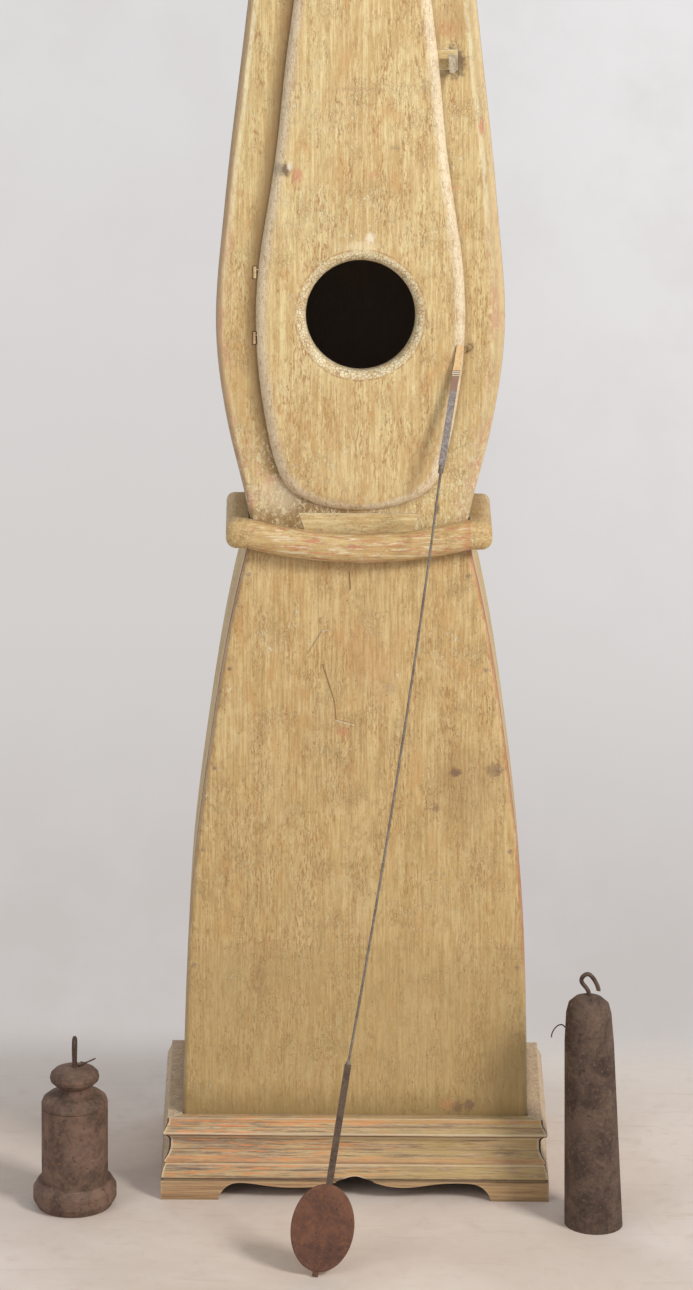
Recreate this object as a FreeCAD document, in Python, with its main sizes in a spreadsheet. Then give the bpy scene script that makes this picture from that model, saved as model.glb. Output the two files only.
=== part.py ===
import FreeCAD, Part
import math
import os
import re
from types import SimpleNamespace

import Sketcher
from FreeCAD import Rotation, Vector

# Mora clock: a tall case clock with a pear-shaped waist, its pendulum leaning on the front and its two
# weights standing beside it. Millimetres, +Z up, the front faces -Y, and the origin is the centre of the
# back rail's foot, on the floor.
os.makedirs("parts", exist_ok=True)
doc = FreeCAD.newDocument("mora_clock")

# Driving sizes
SIZES = {
    # Plinth
    "plinth_depth": 290, "plinth_height": 102, "plinth_side_ledge": 27, "case_setback": 22,
    "plinth_relief": 10.5, "foot_length": 73, "apron_peak": 31, "rail_thickness": 20, "rail_height": 40,
    # Case boards
    "case_half": 216.5, "belt_half": 131.5, "belly_half": 176.5, "neck_half": 113, "plan_flare": 13,
    "belt_z": 838, "neck_head_height": 73,
    "belly_share": 0.3173, "front_thickness": 20, "side_thickness": 16,
    "back_thickness": 12, "edge_round": 7, "bottom_thickness": 14, "block_size": 36, "board_clearance": 0.5,
    "patch_top_half": 74, "patch_foot_half": 65.5, "patch_height": 25, "joint_clearance": 0.2,
    "nail_head_radius": 2.4, "nail_head_height": 0.8, "nail_inset": 9.6, "wall_screw_radius": 2.75,
    "wall_screw_z": 1580,
    # Belt
    "belt_height": 34, "belt_depth": 27, "belt_sag": 17, "belt_round": 13, "belt_inner_half": 135.5,
    # Inner battens
    "batten_thickness": 16, "batten_width": 30, "cleat_half": 100, "cleat_height": 25,
    "stop_height": 100, "stop_lap": 9,
    # Door
    "door_half": 128.7, "door_bottom_z": 866, "door_height": 769, "door_gap": 2, "door_lip": 5,
    "door_proud": 10, "door_round": 15, "rest_clearance": 0.3, "window_radius": 67.2,
    "window_share": 0.313, "window_round": 11,
    # Door hinges
    "hinge_low_share": 0.2757, "hinge_high_share": 0.3797, "eye_radius": 2.2, "eye_height": 7,
    "hinge_pin_radius": 1, "pin_clearance": 0.05, "eye_notch_radius": 2.8, "mortise_depth": 3.4,
    "notch_margin": 1, "spike_radius": 0.8, "spike_sink": 1.35, "spike_length": 22, "axis_past": 0.65,
    # Turn catch and bent nail
    "catch_x": 109.6, "catch_share": 0.7185, "catch_length": 19, "catch_width": 12, "catch_thickness": 2.5,
    "catch_top": 4, "catch_standoff": 8.4, "catch_shank_radius": 2.4, "block_width": 27, "block_height": 25,
    "block_depth": 9, "block_below": 14.5, "nail_x": 131.2, "nail_share": 0.2562, "nail_radius": 1,
    "nail_reach": 5, "nail_loop": 6,
    # Hood
    "neck_mould_height": 44, "neck_mould_out": 34, "hood_base_inset": 50, "hood_base_thickness": 18,
    "hood_base_out": 26, "well_half": 96.8, "well_front": 22, "well_back": 24,
    "hood_radius": 215, "hood_sink": 35, "hood_out": 12, "hood_front_thickness": 20,
    "rim_thickness": 12, "front_width": 63,
    # Bezel door, glass and dial
    "bezel_lip": 2, "bezel_width": 26, "bezel_depth": 15, "bezel_lap": 5, "glass_thickness": 3,
    "bezel_axis_past": 7, "bezel_axis_out": 5.5, "bezel_eye_radius": 3, "bezel_eye_height": 18,
    "bezel_leaf_width": 12, "bezel_leaf_thickness": 2, "bezel_knob_radius": 6, "bezel_knob_length": 14,
    "dial_lap": 14, "dial_thickness": 1.5, "dial_hole_radius": 6,
    "winding_hole_radius": 5, "winding_square": 4.4,
    # Hands and motion work
    "hour_share": 0.579, "minute_share": 0.868, "hour_hand_out": 9, "minute_hand_out": 14,
    "hand_thickness": 1.4, "arbor_radius": 1.6, "pivot_radius": 1.2,
    "minute_pipe_radius": 2.8, "hour_pipe_radius": 4.2, "run_clearance": 0.05,
    "motion_module": 1, "motion_gear_width": 3, "motion_gap": 2,
    # Movement
    "plate_thickness": 3, "plate_half": 92, "plate_below": 85, "plate_above": 98, "plate_gap": 80,
    "plate_behind_dial": 17, "pillar_radius": 4, "pillar_inset": 10, "seat_thickness": 18,
    "seat_half": 110, "seat_lap": 8, "seat_depth": 130, "cheek_thickness": 12, "cheek_depth": 120,
    "cheek_setback": 5, "cheek_below_neck": 108,
    "great_module": 1, "train_module": 0.8, "wheel_width": 3, "barrel_radius": 22,
    "barrel_length": 34, "barrel_flange": 26, "flange_thickness": 2, "wheel_inset": 6, "escape_radius": 20,
    "escape_width": 1.6, "pallet_clearance": 1.4, "anchor_rise": 27, "anchor_thickness": 4,
    "crutch_length": 92, "crutch_radius": 1.4, "crutch_gap": 6, "fork_width": 6, "fork_depth": 10,
    "fork_height": 3, "fork_front": 3, "fork_slot_width": 2.2, "fork_slot_depth": 4.5,
    "cock_length": 24, "cock_width": 16, "cock_height": 8, "cock_slit": 1,
    "lift_pin_radius": 1.3, "lift_pin_length": 7, "lift_pin_circle": 40,
    "hammer_x": 58, "hammer_rise": 74, "hammer_rod_radius": 1.6, "hammer_head_radius": 6,
    "hammer_head_length": 16, "hammer_gap": 1, "hammer_head_out": 3,
    "hammer_rod_out": 4.5, "hammer_arbor_out": 6, "bell_radius": 40, "bell_height": 26, "bell_wall": 2,
    "bell_room": 34, "bell_stand_radius": 2.5, "bell_nut_radius": 5, "bell_nut_height": 5,
    # Pendulum
    "tip_x": -46.7, "tip_out": 218.3, "top_x": 121.7, "top_z": 1070, "top_out": 10.8, "nib_length": 5,
    "bob_height": 100, "bob_width": 74, "bob_thickness": 5, "nib_width": 7, "nib_thickness": 3.5,
    "bar_length": 138,
    "bar_width": 8, "bar_thickness": 3.5, "wire_radius": 1.5, "wire_bow": 5, "ferrule_length": 10,
    "ferrule_radius": 3.2, "strip_width": 8.5, "strip_thickness": 1.6, "strip_length": 111,
    "binding_length": 7,
    "binding_lap": 1.2, "tab_length": 30, "tab_thickness": 1.6,
    # Left weight
    "left_x": -348, "left_out": 12, "left_radius": 41, "left_flange_radius": 51.5, "left_flange_height": 33,
    "left_foot_radius": 46, "left_body_top": 130, "left_neck_radius": 19, "left_neck_z": 149,
    "left_knob_radius": 30.5, "left_knob_z": 171, "left_height": 175, "left_ring_z": 124,
    "left_ring_depth": 1.5, "hook_radius": 2.6, "left_hook_height": 38, "left_hook_half": 8,
    "left_loop_radius": 13, "loop_wire_radius": 0.9,
    # Right weight
    "right_x": 292.4, "right_out": 62, "right_foot_radius": 35.5, "right_shoulder_radius": 30,
    "right_cap_radius": 27.6, "right_brow_radius": 24.5, "right_top_radius": 16.5, "right_shoulder_z": 228,
    "right_cap_z": 264, "right_brow_z": 276, "right_top_z": 283, "right_height": 286, "right_lean": 10,
    "right_hook_height": 26, "right_hook_reach": 9, "scrap_radius": 0.8, "scrap_length": 16,
    # How far cutting solids run past what they cut
    "overrun": 5,
    # How near to a plane an edge counts as lying in it
    "pick_tolerance": 0.05,
}

# Places that follow from the driving sizes
DERIVED = {
    "back_y": "rail_thickness / 2",
    "belly_z": "door_bottom_z + belly_share * door_height",
    "window_z": "door_bottom_z + window_share * door_height",
    "hinge_low_z": "door_bottom_z + hinge_low_share * door_height",
    "hinge_high_z": "door_bottom_z + hinge_high_share * door_height",
    "catch_z": "door_bottom_z + catch_share * door_height",
    "nail_z": "door_bottom_z + nail_share * door_height",
    "neck_z": "door_bottom_z + door_height + neck_head_height",
    "cheek_foot_z": "neck_z - cheek_below_neck",
    "plinth_front_y": "back_y - plinth_depth",
    "case_front_y": "plinth_front_y + case_setback",
    "frame_back_y": "case_front_y + front_thickness",
    "board_back_y": "back_y - back_thickness",
    "door_front_y": "case_front_y - door_proud",
    "door_back_y": "frame_back_y - rest_clearance",
    "door_seat_y": "case_front_y - rest_clearance",
    "door_in": "door_lip - door_gap",
    "hinge_x": "-door_half - axis_past",
    "belt_foot_z": "belt_z - belt_height / 2",
    "hood_base_z": "neck_z + hood_base_thickness",
    "hood_z": "hood_base_z + hood_radius - hood_sink",
    "hood_base_half": "hood_radius - hood_base_inset",
    "dial_opening": "hood_radius - front_width",
    "bezel_inner": "dial_opening - bezel_lip",
    "bezel_outer": "bezel_inner + bezel_width",
    "bezel_axis_x": "bezel_outer + bezel_axis_past",
    "bezel_knob_x": "bezel_inner + bezel_width / 2",
    "dial_radius": "dial_opening + dial_lap",
    "hour_length": "hour_share * dial_opening",
    "minute_length": "minute_share * dial_opening",
    "bell_rise": "hood_radius - rim_thickness - bell_room - bell_nut_height - bell_height - plate_above",
    "hood_front_y": "case_front_y - hood_out",
    "hood_ring_back_y": "hood_front_y + hood_front_thickness",
    "dial_back_y": "hood_ring_back_y + dial_thickness",
    "plate_front_y": "dial_back_y + plate_behind_dial",
    "inside_front_y": "plate_front_y + plate_thickness",
    "inside_back_y": "inside_front_y + plate_gap",
    "movement_back_y": "inside_back_y + plate_thickness",
    "seat_top_z": "hood_z - plate_below",
    "tip_y": "plinth_front_y - tip_out",
    "top_y": "case_front_y - top_out",
}

sheet = doc.addObject("Spreadsheet::Sheet", "Sizes")
ROWS = [(alias, str(value)) for alias, value in SIZES.items()]
NAMES = set(SIZES) | set(DERIVED)


def formula(text):
    """The text with each size's name led by the sheet's name."""
    return re.sub(r"[a-z][a-z_]+", lambda word: "Sizes." + word[0] if word[0] in NAMES else word[0], text)


for row, (alias, content) in enumerate(ROWS + [(a, "=" + t) for a, t in DERIVED.items()], 1):
    sheet.set(f"A{row}", alias)
    sheet.set(f"B{row}", content)
    sheet.setAlias(f"B{row}", alias)
doc.recompute()
s = SimpleNamespace(**{alias: float(sheet.get(alias)) for alias in NAMES})

nodes = []


def keep(piece, name):
    """Marks a finished sub-part; its name becomes its label and its file."""
    piece.Label = name
    nodes.append(piece)
    return piece


def bind(piece, formulas):
    for what, text in formulas.items():
        piece.setExpression(what, formula(text))
    return piece


def box(name, x, y, z):
    """A box between two formulas along each axis."""
    piece = doc.addObject("Part::Box", name)
    sides = {"Length": x, "Width": y, "Height": z}
    bind(piece, {side: f"({high}) - ({low})" for side, (low, high) in sides.items()})
    return bind(piece, {f"Placement.Base.{axis}": low for axis, (low, high) in zip("xyz", (x, y, z))})


TURNS = {"z": Rotation(), "y": Rotation(Vector(1, 0, 0), -90), "x": Rotation(Vector(0, 1, 0), 90)}


def rod(name, radius, length, x, y, z, along="z"):
    """A round rod that starts at a place and runs along one axis."""
    piece = doc.addObject("Part::Cylinder", name)
    piece.Placement = FreeCAD.Placement(Vector(), TURNS[along])
    bind(piece, {"Radius": radius, "Height": length})
    return bind(piece, {"Placement.Base.x": x, "Placement.Base.y": y, "Placement.Base.z": z})


def less(name, base, *tools):
    """The base with the tools cut away."""
    piece = doc.addObject("Part::Cut", name)
    piece.Base = base
    piece.Tool = tools[0] if len(tools) == 1 else joined(name + "_tools", *tools)
    return piece


def joined(name, *pieces):
    piece = doc.addObject("Part::MultiFuse", name)
    piece.Shapes = list(pieces)
    return piece


def group(name, *pieces):
    """Separate solids that share a node."""
    piece = doc.addObject("Part::Compound", name)
    piece.Links = list(pieces)
    return piece


def shaped(name, shape):
    piece = doc.addObject("Part::Feature", name)
    piece.Shape = shape
    return piece


def sketched(body, plane, corners):
    """A closed outline in a body's own plane, each corner held at two formulas."""
    sketch = body.newObject("Sketcher::SketchObject", body.Name + "_outline")
    sketch.AttachmentSupport = [(next(f for f in body.Origin.OriginFeatures if f.Role == plane), "")]
    sketch.MapMode = "FlatFace"
    count = len(corners)
    for i in range(count):
        sketch.addGeometry(Part.LineSegment(Vector(i, i * i, 0), Vector(i + 1, (i + 1) ** 2, 0)))
    for i in range(count):
        sketch.addConstraint(Sketcher.Constraint("Coincident", i, 2, (i + 1) % count, 1))
    for i, corner in enumerate(corners):
        for kind, text in zip(("DistanceX", "DistanceY"), corner):
            held = sketch.addConstraint(Sketcher.Constraint(kind, -1, 1, i, 1, 1.0 + i))
            sketch.setExpression(f"Constraints[{held}]", formula(text))
    return sketch


def padded(name, corners, low, high, plane="XZ_Plane"):
    """A board: its outline seen from the front, or from above, between two places along Y, or Z."""
    body = doc.addObject("PartDesign::Body", name)
    sketch = sketched(body, plane, corners)
    pad = body.newObject("PartDesign::Pad", name + "_pad")
    pad.Profile = sketch
    bind(pad, {"Length": f"({high}) - ({low})"})
    bind(body, {"Placement.Base.y": high} if plane == "XZ_Plane" else {"Placement.Base.z": low})
    return body


def turned(name, corners, x, y, z, along="z"):
    """A turned piece: corners are (radius, height along its axis)."""
    body = doc.addObject("PartDesign::Body", name)
    sketch = sketched(body, "XZ_Plane", corners)
    spin = body.newObject("PartDesign::Revolution", name + "_turning")
    spin.Profile = sketch
    spin.ReferenceAxis = (sketch, ["V_Axis"])
    spin.Angle = 360
    body.Placement = FreeCAD.Placement(Vector(), TURNS[along])
    return bind(body, {"Placement.Base.x": x, "Placement.Base.y": y, "Placement.Base.z": z})


def mirrored(shape):
    return shape.mirror(Vector(), Vector(1, 0, 0))


def spline(points):
    curve = Part.BSplineCurve()
    curve.interpolate([Vector(*point) for point in points])
    return curve.toShape()


def line(a, b):
    return Part.makeLine(Vector(*a), Vector(*b))


def bent_wire(name, points, radius):
    """A round wire along smooth points."""
    path = Part.Wire(spline(points))
    edge = path.Edges[0]
    start = Part.Wire(Part.makeCircle(radius, Vector(*points[0]), edge.tangentAt(edge.FirstParameter)))
    return shaped(name, path.makePipeShell([start], True, False))


def prism(points, z_low, z_high):
    """A flat plan shape, points (x, y), between two heights."""
    corners = [Vector(x, y, z_low) for x, y in points]
    return Part.Face(Part.makePolygon(corners + corners[:1])).extrude(Vector(0, 0, z_high - z_low))


# Outlines of the case, seen from the front

# Each pair is a share of the height and a share of the width's change, from the foot up
LOWER_SHARES = [(0.0, 1.0), (0.205, 0.953), (0.413, 0.851), (0.618, 0.633), (0.822, 0.356), (1.0, 0.0)]
SWELL_SHARES = [(0.0, 0.0), (0.246, 0.311), (0.43, 0.591), (0.61, 0.804), (0.79, 0.949), (1.0, 1.0)]
TAPER_SHARES = [(0.149, 0.894), (0.309, 0.745), (0.47, 0.567), (0.63, 0.389), (1.0, 0.0)]
LOWER_LINE = [
    (s.belt_half + w * (s.case_half - s.belt_half), s.plinth_height + h * (s.belt_z - s.plinth_height))
    for h, w in LOWER_SHARES
]
UPPER_LINE = [
    (s.belt_half + w * (s.belly_half - s.belt_half), s.belt_z + h * (s.belly_z - s.belt_z))
    for h, w in SWELL_SHARES
] + [
    (s.neck_half + w * (s.belly_half - s.neck_half), s.belly_z + h * (s.neck_z - s.belly_z))
    for h, w in TAPER_SHARES
]
LOWER_FOOT = (s.case_half, s.rail_height)


def flare(y):
    """How much wider the case is at this depth than at its front."""
    return s.plan_flare * (y - s.case_front_y) / (s.back_y - s.case_front_y)


def side_edges(lines, y, grow, hand=1):
    """The case's outer line on one side, foot to top, as edges: straight pieces have two points."""
    made = []
    for points in lines:
        placed = [(hand * (width + grow), y, z) for width, z in points]
        made.append(line(*placed) if len(placed) == 2 else spline(placed))
    return made


def front_wire(lines, y, grow=0.0):
    """The whole outline seen from the front."""
    foot, top = lines[0][0], lines[-1][-1]
    right = side_edges(lines, y, grow)
    left = side_edges(lines, y, grow, -1)
    ends = [
        line((-foot[0] - grow, y, foot[1]), (foot[0] + grow, y, foot[1])),
        line((-top[0] - grow, y, top[1]), (top[0] + grow, y, top[1])),
    ]
    return Part.Wire(Part.__sortEdges__(right + left + ends))


def board(lines, y_low, y_high, grow=0.0):
    return Part.Face(front_wire(lines, y_low, grow)).extrude(Vector(0, y_high - y_low, 0))


def side_board(lines, y_low, y_high):
    """The right side: a board that follows the outline and widens towards the back."""
    ends = []
    for y in (y_low, y_high):
        outer = side_edges(lines, y, flare(y))
        inner = side_edges(lines, y, flare(y) - s.side_thickness)
        foot, top = lines[0][0], lines[-1][-1]
        out_x, top_x = foot[0] + flare(y), top[0] + flare(y)
        caps = [
            line((out_x, y, foot[1]), (out_x - s.side_thickness, y, foot[1])),
            line((top_x, y, top[1]), (top_x - s.side_thickness, y, top[1])),
        ]
        ends.append(Part.Wire(Part.__sortEdges__(outer + inner + caps)))
    return Part.makeLoft(ends, True, True)


def rounded_front(shape, y, radius, on_outline):
    """Rounds the edges that lie in the plane y and pass the test."""
    edges = [
        e for e in shape.Edges
        if abs(e.BoundBox.YMin - y) < s.pick_tolerance
        and e.BoundBox.YLength < s.pick_tolerance and on_outline(e)
    ]
    return shape.makeFillet(radius, edges)


def long_sides(edge):
    return edge.BoundBox.ZLength > edge.BoundBox.XLength


# Plinth: worked moulding round three sides, scalloped apron, back rail and glue blocks

# Each point is a share of the relief, inward from the foot's face, and a share of the height; a pair of
# points is an arc through the first to the second
PLINTH_PROFILE_SHARES = [
    (0.0, 0.0), (0.0, 0.23), (0.25, 0.237), (0.25, 0.251), (0.08, 0.261),
    ((0.2, 0.36), (0.48, 0.446)), ((0.34, 0.469), (0.44, 0.495)), ((0.91, 0.59), (1.0, 0.696)),
    ((0.82, 0.77), (0.34, 0.799)), ((0.25, 0.826), (0.36, 0.853)), ((0.6, 0.905), (0.78, 0.941)), (0.83, 1.0),
]
NECK_PROFILE_SHARES = [(0.86, 0.0), (0.86, 0.12), ((0.7, 0.62), (0.2, 0.8)), (0.0, 0.84), (0.0, 1.0)]


def profile_face(shares, relief, height, ledge, at, out, z):
    """A moulding's section at a plan point; out is the direction that it faces."""
    def place(point):
        return Vector(*at, z) + out * (ledge - point[0] * relief) + Vector(0, 0, point[1] * height)

    edges = []
    here = place(shares[0])
    for share in shares[1:]:
        if isinstance(share[0], tuple):
            middle, end = place(share[0]), place(share[1])
            edges.append(Part.Arc(here, middle, end).toShape())
        else:
            end = place(share)
            edges.append(Part.makeLine(here, end))
        here = end
    top = Vector(*at, z + shares[-1][1] * height)
    foot = Vector(*at, z)
    edges += [Part.makeLine(here, top), Part.makeLine(top, foot), Part.makeLine(foot, place(shares[0]))]
    return Part.Face(Part.Wire(edges))


def moulding(shares, relief, height, half, ledges, z):
    """A moulding's front run and right run, mitred at the corner; ledges are the front's and the side's."""
    front_ledge, side_ledge = ledges
    along = Vector(s.plan_flare, s.back_y - s.case_front_y, 0).normalize()
    out = Vector(along.y, -along.x, 0)
    corner = Vector(half, s.case_front_y, 0)
    side_point = corner + out * side_ledge
    reach = (s.case_front_y - front_ledge - side_point.y) / along.y
    outer = side_point + along * reach
    past = corner + (outer - corner) * 2
    end = Vector(half + s.plan_flare, s.back_y, 0)
    front_end = (-past.x, s.case_front_y)
    front_face = profile_face(shares, relief, height, front_ledge, front_end, Vector(0, -1, 0), z)
    front = front_face.extrude(Vector(2 * past.x, 0, 0))
    plan = [(-corner.x, corner.y), (corner.x, corner.y), (past.x, past.y), (-past.x, past.y)]
    front = front.common(prism(plan, z, z + height))
    start = corner - along * (2 * front_ledge)
    side_face = profile_face(shares, relief, height, side_ledge, (start.x, start.y), out, z)
    run = side_face.extrude(along * ((end - start).Length + side_ledge))
    wide = end + Vector(2 * side_ledge, 0, 0)
    plan = [(corner.x, corner.y), (past.x, past.y), (wide.x, past.y), (wide.x, wide.y), (end.x, end.y)]
    return front, run.common(prism(plan, z, z + height))


plinth_front, plinth_side = moulding(
    PLINTH_PROFILE_SHARES, s.plinth_relief, s.plinth_height, s.case_half,
    (s.case_setback, s.plinth_side_ledge), 0,
)
# The scalloped edge between the feet: shares of the gap's half width and of the peak
APRON_SHARES = [
    (-1.0, 0.0), (-0.975, 0.34), (-0.915, 0.63), (-0.79, 0.7), (-0.59, 0.56), (-0.41, 0.53), (-0.17, 0.7),
    (-0.06, 0.93), (0.0, 1.0), (0.06, 0.93), (0.17, 0.7), (0.41, 0.56), (0.6, 0.7), (0.8, 0.74),
    (0.915, 0.62), (0.975, 0.33), (1.0, 0.0),
]
gap_half = s.case_half + s.plinth_side_ledge - s.foot_length
apron_y = s.plinth_front_y - s.overrun
scallop = [(w * gap_half, apron_y, h * s.apron_peak) for w, h in APRON_SHARES]
below = [(gap_half, apron_y, -s.overrun), (-gap_half, apron_y, -s.overrun)]
scallop_wire = Part.Wire([
    spline(scallop), line(scallop[-1], below[0]), line(below[0], below[1]), line(below[1], scallop[0])
])
apron_cut = Part.Face(scallop_wire).extrude(Vector(0, s.case_setback + 2 * s.overrun, 0))
keep(shaped("plinth_front", plinth_front.cut(apron_cut)), "plinth_front")
keep(shaped("plinth_side_right", plinth_side), "plinth_side_right")
keep(shaped("plinth_side_left", mirrored(plinth_side)), "plinth_side_left")
rail_half = "(case_half + plan_flare * (1 - rail_thickness / (back_y - case_front_y)) - board_clearance)"
keep(box("plinth_back_rail", ("-" + rail_half, rail_half), ("-back_y", "back_y"), ("0", "rail_height")),
     "plinth_back_rail")


def inner_half(y):
    """Half the width inside the lower case's sides at a depth, as a formula."""
    return (f"(case_half + plan_flare * (({y}) - case_front_y) / (back_y - case_front_y)"
            " - side_thickness - board_clearance)")


board_z = "plinth_height - bottom_thickness"
floor_plan = padded("bottom_board", [
    (f"-{inner_half('frame_back_y')}", "frame_back_y"), (inner_half("frame_back_y"), "frame_back_y"),
    (inner_half("board_back_y"), "board_back_y"), (f"-{inner_half('board_back_y')}", "board_back_y"),
], board_z, "plinth_height", "XY_Plane")
keep(floor_plan, "bottom_board")
battens = []
for place, y in (("front", ("frame_back_y", "frame_back_y + block_size")),
                 ("back", ("board_back_y - block_size", "board_back_y"))):
    high = inner_half(y[0])
    low = high + " - block_size"
    for side, x in (("left", (f"-{high}", f"-({low})")), ("right", (low, high))):
        battens.append(box(f"block_{place}_{side}", x, y, ("rail_height", board_z)))

# Lower case: front board, side boards and the back board that the whole case shares
lower_lines = [[LOWER_FOOT, LOWER_LINE[0]], LOWER_LINE]
upper_lines = [UPPER_LINE]
whole_lines = lower_lines + upper_lines
lower_front = rounded_front(
    board(lower_lines, s.case_front_y, s.frame_back_y), s.case_front_y, s.edge_round, long_sides)
keep(shaped("lower_front_board", lower_front), "lower_front_board")
lower_side = side_board(lower_lines, s.frame_back_y, s.board_back_y)
keep(shaped("lower_side_right", lower_side), "lower_side_right")
keep(shaped("lower_side_left", mirrored(lower_side)), "lower_side_left")
back = shaped("back_blank", board(whole_lines, s.board_back_y, s.back_y, flare(s.board_back_y)))
screw_hole = rod("wall_screw_hole", "wall_screw_radius", "back_thickness + 2 * overrun", "0",
                 "board_back_y - overrun", "wall_screw_z", "y")
keep(less("back_board", back, screw_hole), "back_board")

# Nail heads along the lower board's edges: shares of its height, and how far in from the edge
NAIL_SHARES = [0.26, 0.46, 0.6, 0.77, 0.93]
nail_heads = []
for hand in (-1, 1):
    for share in NAIL_SHARES:
        height = s.plinth_height + share * (s.belt_z - s.plinth_height)
        cut = Part.makePlane(4 * s.case_half, s.overrun, Vector(0, s.case_front_y, height))
        edge_x = max(v.X for v in side_edges(lower_lines, s.case_front_y, 0)[1].section(cut).Vertexes)
        at = Vector(hand * (edge_x - s.nail_inset), s.case_front_y - s.nail_head_height, height)
        nail_heads.append(Part.makeCylinder(s.nail_head_radius, s.nail_head_height, at, Vector(0, 1, 0)))

# Belt: a sagging front moulding between two side pieces that run forward past the front
SWING_MARGIN = 2
belt_low, belt_high = s.belt_foot_z, s.belt_foot_z + s.belt_height
belt_front_y = s.case_front_y - s.belt_depth
chord = s.belt_inner_half
sag_radius = (chord ** 2 + s.belt_sag ** 2) / (2 * s.belt_sag)
section = Part.makePolygon([
    Vector(0, s.case_front_y, belt_low - s.belt_sag), Vector(0, belt_front_y, belt_low - s.belt_sag),
    Vector(0, belt_front_y, belt_high - s.belt_sag), Vector(0, s.case_front_y, belt_high - s.belt_sag),
    Vector(0, s.case_front_y, belt_low - s.belt_sag),
])
centre = Vector(0, 0, (belt_low + belt_high) / 2 - s.belt_sag + sag_radius)
swing = math.degrees(math.asin(chord / sag_radius)) + SWING_MARGIN
turn_back = Part.Face(section).rotated(centre, Vector(0, 1, 0), -swing)
belt = turn_back.revolve(centre, Vector(0, 1, 0), 2 * swing)
belt = rounded_front(belt, belt_front_y, s.belt_round, lambda e: e.BoundBox.XLength > chord)
between = [(-chord, belt_front_y), (chord, belt_front_y), (chord, s.case_front_y), (-chord, s.case_front_y)]
keep(shaped("belt_front", belt.common(prism(between, 0, s.neck_z))), "belt_front")
back_x = chord + s.plan_flare
side_plan = [(chord, belt_front_y), (chord + s.belt_depth, belt_front_y), (back_x + s.belt_depth, s.back_y),
             (back_x, s.back_y), (chord + flare(s.frame_back_y), s.frame_back_y)]
side_belt = prism(side_plan, belt_low, belt_high)
near = s.belt_round / 2
outer_edges = [
    e for e in side_belt.Edges
    if e.BoundBox.ZLength < s.pick_tolerance
    and (e.BoundBox.XMax > chord + s.belt_depth + near or e.BoundBox.YMax < belt_front_y + near)
]
front_post = [e for e in side_belt.Edges if e.BoundBox.ZLength > near
              and e.BoundBox.YMax < belt_front_y + near and e.BoundBox.XMin > chord + near]
side_belt = side_belt.makeFillet(s.belt_round, outer_edges + front_post)
waist_side = side_board(upper_lines, s.frame_back_y, s.board_back_y)
for lines in (lower_lines, upper_lines):
    side_belt = side_belt.cut(board(lines, s.case_front_y, s.back_y))
side_belt = side_belt.cut([lower_side, waist_side, back.Shape])
keep(shaped("belt_side_right", side_belt), "belt_side_right")
keep(shaped("belt_side_left", mirrored(side_belt)), "belt_side_left")

# Waist: the door's pear outline, the frame round it, side boards and the let-in repair piece

# Share of the door's height and share of its half width, from the middle of its foot to its top corner
DOOR_SHARES = [
    (0.0, 0.0), (0.005, 0.31), (0.016, 0.505), (0.034, 0.676), (0.066, 0.789), (0.103, 0.855), (0.148, 0.909),
    (0.22, 0.971), (0.325, 1.0), (0.41, 0.96), (0.492, 0.883), (0.585, 0.803), (0.7, 0.734), (0.806, 0.653),
    (1.0, 0.528),
]


def pear(y, grow=0.0):
    """The door's outline in the plane y, or an opening larger by grow all round."""
    right = [(w * s.door_half, s.door_bottom_z + h * s.door_height) for h, w in DOOR_SHARES]
    around = [(-x, z) for x, z in reversed(right[1:])] + right
    placed = []
    for i, (x, z) in enumerate(around):
        before = around[max(i - 1, 0)]
        after = around[min(i + 1, len(around) - 1)]
        step = Vector(after[0] - before[0], 0, after[1] - before[1]).normalize()
        placed.append((x + step.z * grow, y, z - step.x * grow))
    top = s.door_bottom_z + s.door_height + grow
    placed[0] = (placed[0][0], y, top)
    placed[-1] = (placed[-1][0], y, top)
    return Part.Wire([spline(placed), line(placed[-1], placed[0])])


def patch(grow):
    """The trapezoid let in under the door."""
    foot, top = s.belt_z, s.belt_z + s.patch_height + grow
    corners = [(-s.patch_foot_half - grow, foot), (s.patch_foot_half + grow, foot),
               (s.patch_top_half + grow, top), (-s.patch_top_half - grow, top)]
    points = [Vector(x, s.case_front_y, z) for x, z in corners]
    return Part.Face(Part.makePolygon(points + points[:1])).extrude(Vector(0, s.front_thickness, 0))


opening = Part.Face(pear(s.case_front_y - s.overrun, -s.door_in)).extrude(
    Vector(0, s.front_thickness + 2 * s.overrun, 0))
frame_board = rounded_front(
    board(upper_lines, s.case_front_y, s.frame_back_y), s.case_front_y, s.edge_round, long_sides)
frame_blank = shaped("frame_blank", frame_board.cut(opening).cut(patch(s.joint_clearance)))
keep(shaped("waist_side_right", waist_side), "waist_side_right")
keep(shaped("waist_side_left", mirrored(waist_side)), "waist_side_left")
sill = shaped("sill_patch", patch(0))

# Inner battens: the cleat behind the belt and the two stops that the shut door rests on
cleat = box("belt_cleat", ("-cleat_half", "cleat_half"),
            ("frame_back_y", "frame_back_y + batten_thickness"),
            ("belt_z - batten_width / 2", "belt_z - batten_width / 2 + cleat_height"))
stop_x = "door_half - door_in - stop_lap"
right_stop = box("right_stop", (stop_x, f"{stop_x} + batten_width"),
                 ("frame_back_y", "frame_back_y + batten_thickness"),
                 ("window_z - stop_height / 2", "window_z + stop_height / 2"))
top_z = "door_bottom_z + door_height - door_in - stop_lap"
top_stop = box("top_stop", ("-stop_height / 2", "stop_height / 2"),
               ("frame_back_y", "frame_back_y + batten_thickness"), (top_z, f"{top_z} + batten_width"))
battens += [cleat, right_stop, top_stop]

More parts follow.
